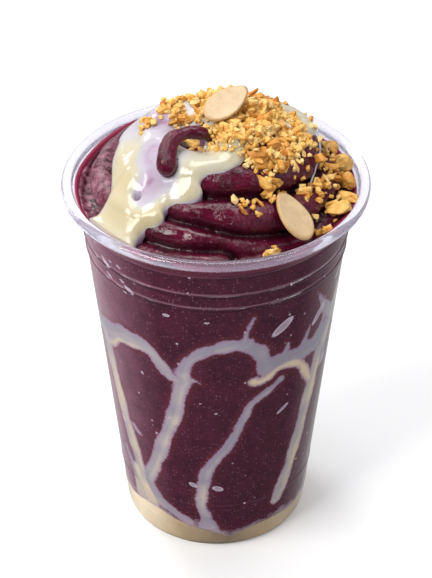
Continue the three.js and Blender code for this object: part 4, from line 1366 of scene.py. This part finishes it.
def milk_depth(points):
    """A layer of even depth, with mounds where the milk has gathered and hollows where it ran off."""
    depth = np.full(len(points), 1.35)
    for spots, sign in ((gathered, 1), (run_thin, -1)):
        for x, y, reach, amount in spots:
            off_squared = (points[:, 0] - x) ** 2 + (points[:, 1] - y) ** 2
            depth += sign * amount * np.exp(-off_squared / reach ** 2)
    return np.clip(depth, 0.25, 2.8)


two_places = np.array([[-28.0, -16.0], [-21, 6]])
print("depth where it gathered and where it ran off", milk_depth(two_places).round(1))

# %% Milk in front
milk, milk_plan, milk_top = milk_sheet(
    "milk_over_top", milk_corners, (-21.0, -9.0), milk_depth,
    holes=[(-23.9, -21.6, 0.9), (-8.2, -3.4, 5.0)])
put_in_place(milk, poured.material, "milk", "milk_on_top")

# %% Milk at the back
back_corners = [(90, 28), (96, 31.8), (108, 33.2), (122, 32.6), (136, 31), (150, 27), (140, 20),
                (118, 16), (95, 20)]
back_depth = 1.9
back_milk, back_plan, back_top = milk_sheet(
    "milk_behind", back_corners, (19.0, 12.0), lambda points: np.full(len(points), back_depth),
    rings_across=50, spokes=180)
put_in_place(back_milk, poured.material, "milk", "milk_at_back")

# %% Thread of milk
# It ran from there round the outside of the fold: station, angle, distance and radius.
thread_stations = [[0, 100, 31.8, 0.8], [1, 90, 32.2, 0.6], [2, 80, 32, 0.45], [3, 71, 31.8, 0.35],
                   [4, 64, 31.6, 0.25]]
thread_angle, thread_distance, thread_radius = through(thread_stations, np.linspace(0, 4, 80)).T
thread_plan = polar(thread_angle, thread_distance, 0)
thread_plan[:, 2] = on_map(blurred(bare, 0.6), thread_plan[:, :2]) + 0.1
tube = rope(thread_plan, thread_radius, sides=10)
thread = closed_grid("milk_thread", tube, tube[0].mean(0)[None], tube[-1].mean(0)[None])
paint(thread, "thick", np.full(len(thread.data.vertices), 0.9))
put_in_place(thread, poured.material, "milk", "milk_at_back")

# %% [markdown]
# ## Nuts
#
# Chopped nuts are angular. A few rounded blocks are cut to shape once, and every crumb is one of
# them, stretched, turned and dropped on what already lies there. The map of heights remembers
# each crumb, so that the heap builds up as a real one does.

# %% Blocks to copy
def cut_block(seed, points=18):
    """Corners of a random convex block about one unit across, and its triangles: points spread
    over a boxy ball, where the sum of the sixth powers of the coordinates is constant."""
    rng = np.random.default_rng(seed)
    cloud = rng.uniform(-1, 1, (points, 3))
    cloud *= 0.5 / np.linalg.norm(cloud, ord=6, axis=1, keepdims=True)
    work = bmesh.new()
    for corner in cloud:
        work.verts.new(corner)
    made = bmesh.ops.convex_hull(work, input=work.verts)
    inner = [v for v in made["geom_interior"] if isinstance(v, bmesh.types.BMVert)]
    bmesh.ops.delete(work, geom=inner, context="VERTS")
    bmesh.ops.triangulate(work, faces=work.faces)
    bmesh.ops.recalc_face_normals(work, faces=work.faces)
    work.verts.index_update()
    corners = np.array([v.co[:] for v in work.verts])
    faces = np.array([[v.index for v in face.verts] for face in work.faces])
    work.free()
    return corners, faces


blocks = [cut_block(seed) for seed in range(60, 68)]
print("faces of a crumb", [len(faces) for _, faces in blocks])


# %% Turning a piece
def spun(a):
    """A turn about the upright by an angle, as a matrix of its cosine and sine."""
    return np.array([[math.cos(a), -math.sin(a), 0], [math.sin(a), math.cos(a), 0], [0, 0, 1]])


def turned(rng, tilt):
    """A random turn about the upright and a random tilt, as the product of three turns."""
    a, b, c = rng.uniform(0, 2 * np.pi), rng.normal(0, tilt), rng.normal(0, tilt)
    nod = np.array([[1, 0, 0], [0, math.cos(b), -math.sin(b)], [0, math.sin(b), math.cos(b)]])
    roll = np.array([[math.cos(c), 0, math.sin(c)], [0, 1, 0], [-math.sin(c), 0, math.cos(c)]])
    return spun(a) @ nod @ roll


print("a quarter turn:", spun(math.pi / 2).round(2).tolist())


# %% Dropping crumbs
class Scatter:
    """Crumbs gathered into one mesh, with a tone for each."""

    def __init__(self):
        self.points, self.faces, self.tones, self.count = [], [], [], 0

    def drop(self, rng, heights, x, y, size, stretch, sink, tone, tilt=0.5, ceiling=999.0):
        """One crumb at a place on the plan. It rests at the height that about a third of the map
        under it lies below, sunk by a share of its size, and is left out where it would pass the
        ceiling. Its upper half, as half an ellipsoid, is then added to the map."""
        i, j = int(round((x + map_half) / map_step)), int(round((y + map_half) / map_step))
        reach = max(1, int(0.42 * size / map_step))
        window = heights[i - reach:i + reach + 1, j - reach:j + reach + 1]
        rest = float(np.quantile(window, 0.35))
        flat = rng.uniform(0.65, 0.95)
        middle = rest + size * flat * (0.5 - sink)
        if middle + 0.45 * size > ceiling:
            return
        corners, faces = blocks[rng.integers(len(blocks))]
        narrowed = size * rng.uniform(0.75, 1.0) / max(1, stretch ** 0.6)
        scale = np.array([size * stretch, narrowed, size * flat])
        placed = (corners * scale) @ turned(rng, tilt).T + [x, y, middle]
        self.faces.append(faces + self.count)
        self.points.append(placed)
        self.tones.append(np.full(len(placed), tone))
        self.count += len(placed)
        span = (np.arange(-reach, reach + 1) * map_step) ** 2
        dome = 1 - (span[:, None] + span[None]) / (0.5 * size) ** 2
        lift = middle + 0.42 * size * flat * np.sqrt(np.maximum(dome, 0))
        window[dome > 0] = np.maximum(window, lift)[dome > 0]

    def finish(self, name):
        """All crumbs as one mesh with flat faces, and the tone of each stored on its points."""
        made = mesh_object(name, np.vstack(self.points), [np.vstack(self.faces)], smooth=False)
        paint(made, "tone", np.concatenate(self.tones))
        return made


# %% [markdown]
# ## Where the crumbs come to rest
#
# A rigid-body run could settle two thousand crumbs, but slowly, and a small change would move them
# all. We drop them one by one onto a map of heights instead: it starts as the sorbet with its tail
# and the milk on it, and each crumb raises it where it lands.

# %% Heights with the milk on them
heights = with_tail.copy()
for plan, top in ((milk_plan, milk_top), (back_plan, back_top)):
    i = np.clip(((plan[:, 0] + map_half) / map_step).round().astype(int), 0, len(ticks) - 1)
    j = np.clip(((plan[:, 1] + map_half) / map_step).round().astype(int), 0, len(ticks) - 1)
    np.maximum.at(heights, (i, j), top)
print("highest with milk", round(float(heights.max()), 1))

# %% [markdown]
# ## Crushed nuts
#
# The photograph shows a heap over the peak and crumbs strewn down the right side, from dust to
# splinters of three millimetres. Small pale ones are the most common and large ones are darker,
# so each kind gives how many, how large and how dark. The heap's outline was read off the photo.

# %% Outline of the heap, and space for the flakes
heap_corners = [(-118, 19.5), (-111, 16.5), (-97, 11), (-60, 6.5), (-25, 8), (-5, 10.8), (14, 13.8),
                (27, 18.5), (36, 23), (50, 24.5), (66, 27), (82, 28.5), (98, 25.5), (118, 22),
                (138, 19), (165, 18), (-155, 18), (-135, 20)]
heap_outline = closed_outline(heap_corners, 120)
rng = np.random.default_rng(5)
crushed = Scatter()
# Crumbs stay off the flakes. The side one lies on the sorbet, and the top one on crumbs, so those
# pile up beneath it no higher than its underside.
side_flake = (23.3, -27.7, 8.8, 4.0, -60)
top_flake = (3.2, 0.0, 9.8, 5.2, 43)


def under_flake(spots, flake_spot):
    """Whether points of the plan lie within the ellipse that a flake covers, given as the plan of
    its middle, half length, half width and lean."""
    x, y, half_long, half_wide, lean = flake_spot
    c, s = math.cos(math.radians(lean)), math.sin(math.radians(lean))
    off = spots - [x, y]
    return np.hypot((off @ [c, s]) / half_long, (off @ [-s, c]) / half_wide) < 1


def underside(spots):
    """Height of the plane just below the top flake, or a great height away from it."""
    plane = 159.5 - 0.3 * (spots[:, 0] - 3.1) + 0.3 * (spots[:, 1] + 0.4)
    return np.where(under_flake(spots, top_flake), plane, 999.0)


print("heap's outline", len(heap_outline), "points")

# %% Crushed nuts on the peak
# How many, smallest, largest, stretch and tone
kinds = [(560, 1.2, 2.1, 1.1, 0.78), (640, 0.7, 1.4, 1.05, 0.88), (260, 1.6, 2.6, 1.15, 0.7),
         (80, 2.4, 3.4, 1.2, 0.55), (220, 0.6, 1.2, 1.0, 0.85), (130, 1.5, 2.6, 1.2, 0.65),
         (40, 2.4, 3.4, 1.25, 0.45), (34, 1.7, 2.2, 2.2, 0.5)]
# No crumbs fall under the hook of the tail, where the bare sorbet shows.
under_tail = np.array([-8.8, -4.6])
for amount, small, large, stretch, usual_tone in kinds:
    spots = rng.uniform([-22, -19], [31, 24], (amount * 2, 2))
    margin = inside_by(heap_outline, spots)
    keep = rng.uniform(-2.5, 1.5, len(spots)) < margin
    keep &= np.linalg.norm(spots - under_tail, axis=1) > 5.4
    beneath = rng.normal([4.5, 1.5], [5, 4], (amount // 5, 2))
    spots = np.vstack([spots[keep][:amount], beneath])
    for (x, y), ceiling in zip(spots, underside(spots)):
        tone = float(np.clip(rng.normal(usual_tone, 0.2), 0, 1))
        size = rng.uniform(small, large)
        crushed.drop(rng, heights, x, y, size, stretch, sink=0.42, tone=tone, ceiling=ceiling)
print("crumbs on the peak", len(crushed.points))

# %% Nuts strewn down the right side
# Each patch is angle, distance, spread and how many.
patches = [(34, 23, 3, 16), (50, 25.5, 3.4, 20), (41, 26.8, 3, 14), (20, 29.5, 2.6, 18),
           (62, 29.5, 3.6, 18), (57, 34, 3, 10), (37, 29, 2.6, 12), (72, 36, 4, 24), (85, 34, 6, 30),
           (102, 34, 6, 20), (26, 39.8, 2.2, 10), (53, 41, 2.2, 9), (66, 40, 3, 10),
           (-94, 21.5, 3.4, 12), (-104, 24, 2.5, 4), (-62, 8.6, 1.8, 2), (140, 33, 8, 16),
           (-150, 32, 6, 10)]
for middle, distance, spread, amount in patches:
    offset = rng.normal(0, spread * 0.6, (amount, 2))
    spots = polar(middle, distance, 0)[:2] + offset
    for x, y in spots[(np.hypot(*spots.T) < 42) & ~under_flake(spots, side_flake)]:
        size = float(np.clip(rng.lognormal(0.45, 0.45), 0.7, 3.4))
        stretch = 2.1 if rng.uniform() < 0.16 else 1.15
        crushed.drop(rng, heights, x, y, size, stretch, sink=0.22, tone=float(rng.beta(2, 2)))
loose = crushed.finish("crushed_nuts")
print("crumbs in all", len(crushed.points))

# %% [markdown]
# ## Larger pieces of nut
#
# Six larger pieces of nut lie along the right side. A nut breaks into flat faces with soft
# edges. A cut block with a bevel would do that too, but its bevels meet untidily, so each is a
# ball pressed flat on random planes by one smooth formula.

# %% Larger pieces of nut
def nut_piece(name, place, length, width, height_mm, direction, seed):
    """A chopped lump: a unit ball cut by planes, softened where they meet. The distance to the
    surface is one over the 60th root of 1 + the sum of (cosine to a plane / its reach)^60. It is
    then stretched three ways and its length turned to a direction."""
    lean = np.radians(np.linspace(-86, 86, 60))[:, None]
    turn = np.radians(np.arange(0, 360, 4))[None]
    ball = unit_ball(lean, turn)
    rng = np.random.default_rng(seed)
    cuts = rng.normal(size=(11, 3))
    cuts /= np.linalg.norm(cuts, axis=1, keepdims=True)
    reach = rng.uniform(0.62, 0.9, 11)
    facing_cut = np.maximum(ball @ cuts.T, 0)
    ball = 1.12 * ball / (1 + ((facing_cut / reach) ** 60).sum(-1, keepdims=True)) ** (1 / 60)
    flat = ball.reshape(-1, 3)
    push = 1 + 0.16 * soft_noise(flat + seed, 0.7, seed) + 0.07 * soft_noise(flat + seed, 0.24, seed + 1)
    shaped = flat * push[:, None] * [length / 2, width / 2, height_mm / 2]
    placed = (shaped @ spun(math.radians(direction)).T + place).reshape(ball.shape)
    made = closed_grid(name, placed, placed[0].mean(0)[None], placed[-1].mean(0)[None])
    paint(made, "tone", np.full(len(made.data.vertices), 0.42 + 0.08 * (seed % 3)))
    return made


# %% [markdown]
# ## Nut finish
#
# Roasted nut is golden inside and brown on its skin. One finish serves all pieces: each carries a
# tone, and a grain moves it a little from place to place, so no two crumbs look alike.

# %% Nut finish
roasted = Finish("roasted nut")
patchy = roasted.effect(grain, Size=480.0)
gritty = roasted.effect(grain, Size=1900.0)
shade = roasted.math("ADD", roasted.stored("tone"), roasted.spread(patchy, 0.3, 0.7, -0.28, 0.28))
dark_tones = ((0.0, (0.45, 0.15, 0.018)), (0.35, (0.63, 0.285, 0.045)))
pale_tones = ((0.65, (0.73, 0.43, 0.105)), (1.0, (0.80, 0.58, 0.25)))
roasted.join(roasted.ramp(shade, *dark_tones, *pale_tones), roasted.shader.inputs["Base Color"])
roasted.plain(Roughness=0.48, Subsurface_Weight=0.15, Subsurface_Scale=0.001, IOR=1.45)
roasted.shader.inputs["Subsurface Radius"].default_value = (1.0, 0.6, 0.3)
roasted.bump(roasted.math("ADD", patchy, gritty), 0.5, 0.0004)
put_in_place(loose, roasted.material, "nut", "nut_heap")

# %% Place the larger pieces
def middle_of(node):
    """Middle of a solid's box in millimetres: the sum of two opposite corners, halved."""
    low_corner, high_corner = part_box(node)
    return np.array([(a + b) / 2 / MM for a, b in zip(low_corner, high_corner)])


# Each is its angle round the cup, its length, width and height, and its direction.
pieces = [(117, 4.6, 4.2, 4.4, 60), (103, 7.2, 5.6, 5.2, 10), (89, 5.2, 4.8, 5.6, 80),
          (78, 7.2, 3.4, 3.2, -28), (67, 8.6, 4.8, 4.4, 6), (54, 4.4, 4, 4, 30)]
highest_middle = 133.0
for k, (middle, long_mm, wide_mm, high_mm, direction) in enumerate(pieces, start=1):
    # Each has settled towards the wall and a little into the sorbet
    place = middle_of(f"nut_{k}") + polar(middle, 1.6, -2.0) + [0, -1.2, 0]
    place[2] = min(place[2], highest_middle)
    made = nut_piece(f"nut_piece_{k}", place, long_mm, wide_mm, high_mm, direction, 30 + k)
    put_in_place(made, roasted.material, "nut", f"nut_{k}")

# %% [markdown]
# ## Almond flakes
#
# A flake is a lengthwise slice of an almond: egg-shaped, flat, about a millimetre and a half
# thick, with a softly rounded edge. It could be cut from an almond with a boolean. We run rings
# from the middle out to the edge on one face and back on the other: that leaves a clean edge, and
# each point knows how near the rim it is, which the finish needs for the brown skin.

# %% Almonds
def flake(name, node, a, b, facing, width, shift):
    """Egg outline: length times cosine, and width times sine narrowed towards one end. The edge
    rounds off as a quarter circle on each face. It points from a to b, its face is turned as far
    as that allows to facing, and it lies at the middle of its solid, moved by shift."""
    length, thick, usual_half_width = 17.5, 1.5, 5
    a, b, facing = (np.array(v, dtype=float) for v in (a, b, facing))
    along = (b - a) / np.linalg.norm(b - a)
    face = facing - along * (facing @ along)
    face /= np.linalg.norm(face)
    across = np.cross(face, along)
    turn = np.radians(np.arange(0, 360, 3))[None]
    near_edge = 0.9 + 0.1 * np.sin(np.radians(np.linspace(15, 90, 6)))
    share = np.concatenate([np.linspace(0.06, 0.9, 14), near_edge])[:, None]
    dome = thick / 2 * np.sqrt(1 - np.clip((share - 0.88) / 0.12, 0, 1) ** 2)
    x = share * np.cos(turn) * length / 2
    y = share * np.sin(turn) * (1 - 0.22 * np.cos(turn) - 0.05 * np.cos(2 * turn)) * width / 2
    cupped = 0.35 * (y / usual_half_width) ** 2
    top = np.stack(np.broadcast_arrays(x, y, dome + cupped), -1)
    bottom = np.stack(np.broadcast_arrays(x, y, -dome + cupped), -1)[::-1][1:]
    local = np.vstack([top, bottom])
    middle = middle_of(node) + shift
    placed = local @ np.stack([along, across, face]) + middle
    ends = [middle + face * thick / 2, middle - face * thick / 2]
    made = closed_grid(name, placed, [ends[0]], [ends[1]])
    out_to = np.broadcast_to(share, x.shape)
    paint(made, "rim", np.concatenate([out_to.ravel(), out_to[::-1][1:].ravel(), [0, 0]]))
    paint(made, "across", np.concatenate([(local[..., 1] / usual_half_width).ravel(), [0, 0]]))
    paint(made, "tip", np.concatenate([(local[..., 0] / length * 2).ravel(), [0, 0]]))
    face_outwards(made)
    return made


# %% Almond finish
# Fine lines run along the flake, the edge keeps a trace of brown skin, and the tip is darker.
pale_nut = Finish("almond flesh")
streaky = pale_nut.effect(grain, Size=350.0)
lines = pale_nut.tree.nodes.new("ShaderNodeTexWave")
lines.inputs["Scale"].default_value = 1.6
lines.inputs["Distortion"].default_value = 1.2
spread_out = pale_nut.tree.nodes.new("ShaderNodeCombineXYZ")
pale_nut.join(pale_nut.stored("across"), spread_out.inputs[0])
pale_nut.join(spread_out.outputs[0], lines.inputs["Vector"])
flesh = pale_nut.ramp(streaky, (0.35, (0.53, 0.375, 0.21)), (0.6, (0.62, 0.46, 0.28)))
flesh = pale_nut.mix(pale_nut.math("MULTIPLY", lines.outputs["Fac"], 0.12), flesh, (0.50, 0.32, 0.15))
skin_edge = pale_nut.spread(pale_nut.stored("rim"), 0.84, 0.97)
flesh = pale_nut.mix(pale_nut.math("MULTIPLY", skin_edge, 0.6), flesh, (0.46, 0.26, 0.09))
flesh = pale_nut.mix(pale_nut.spread(pale_nut.stored("tip"), 0.84, 0.98, 0, 0.8), flesh, (0.30, 0.14, 0.04))
pale_nut.join(flesh, pale_nut.shader.inputs["Base Color"])
pale_nut.plain(Roughness=0.42, Subsurface_Weight=0.2, Subsurface_Scale=0.001, IOR=1.45)
line_relief = pale_nut.math("MULTIPLY", lines.outputs["Fac"], 0.3)
pale_nut.bump(pale_nut.math("ADD", streaky, line_relief), 0.25, 0.0003)
print("almond finish:", len(pale_nut.tree.nodes), "nodes")

# %% Place the flakes
side_almond = flake("almond_flake_side", "almond_side", polar(39.5, 43, 131), polar(44, 28, 139.5),
                    polar(60, 1, 1.3), width=10.8, shift=(0, -1.5, -0.25))
put_in_place(side_almond, pale_nut.material, "almond", "almond_side")
top_almond = flake("almond_flake_top", "almond_top", (-2.8, -5.4, 160), (9.2, 5.8, 164),
                   (0.3, -0.3, 1), width=8.7, shift=(0.2, 0, -2.0))
put_in_place(top_almond, pale_nut.material, "almond", "almond_top")
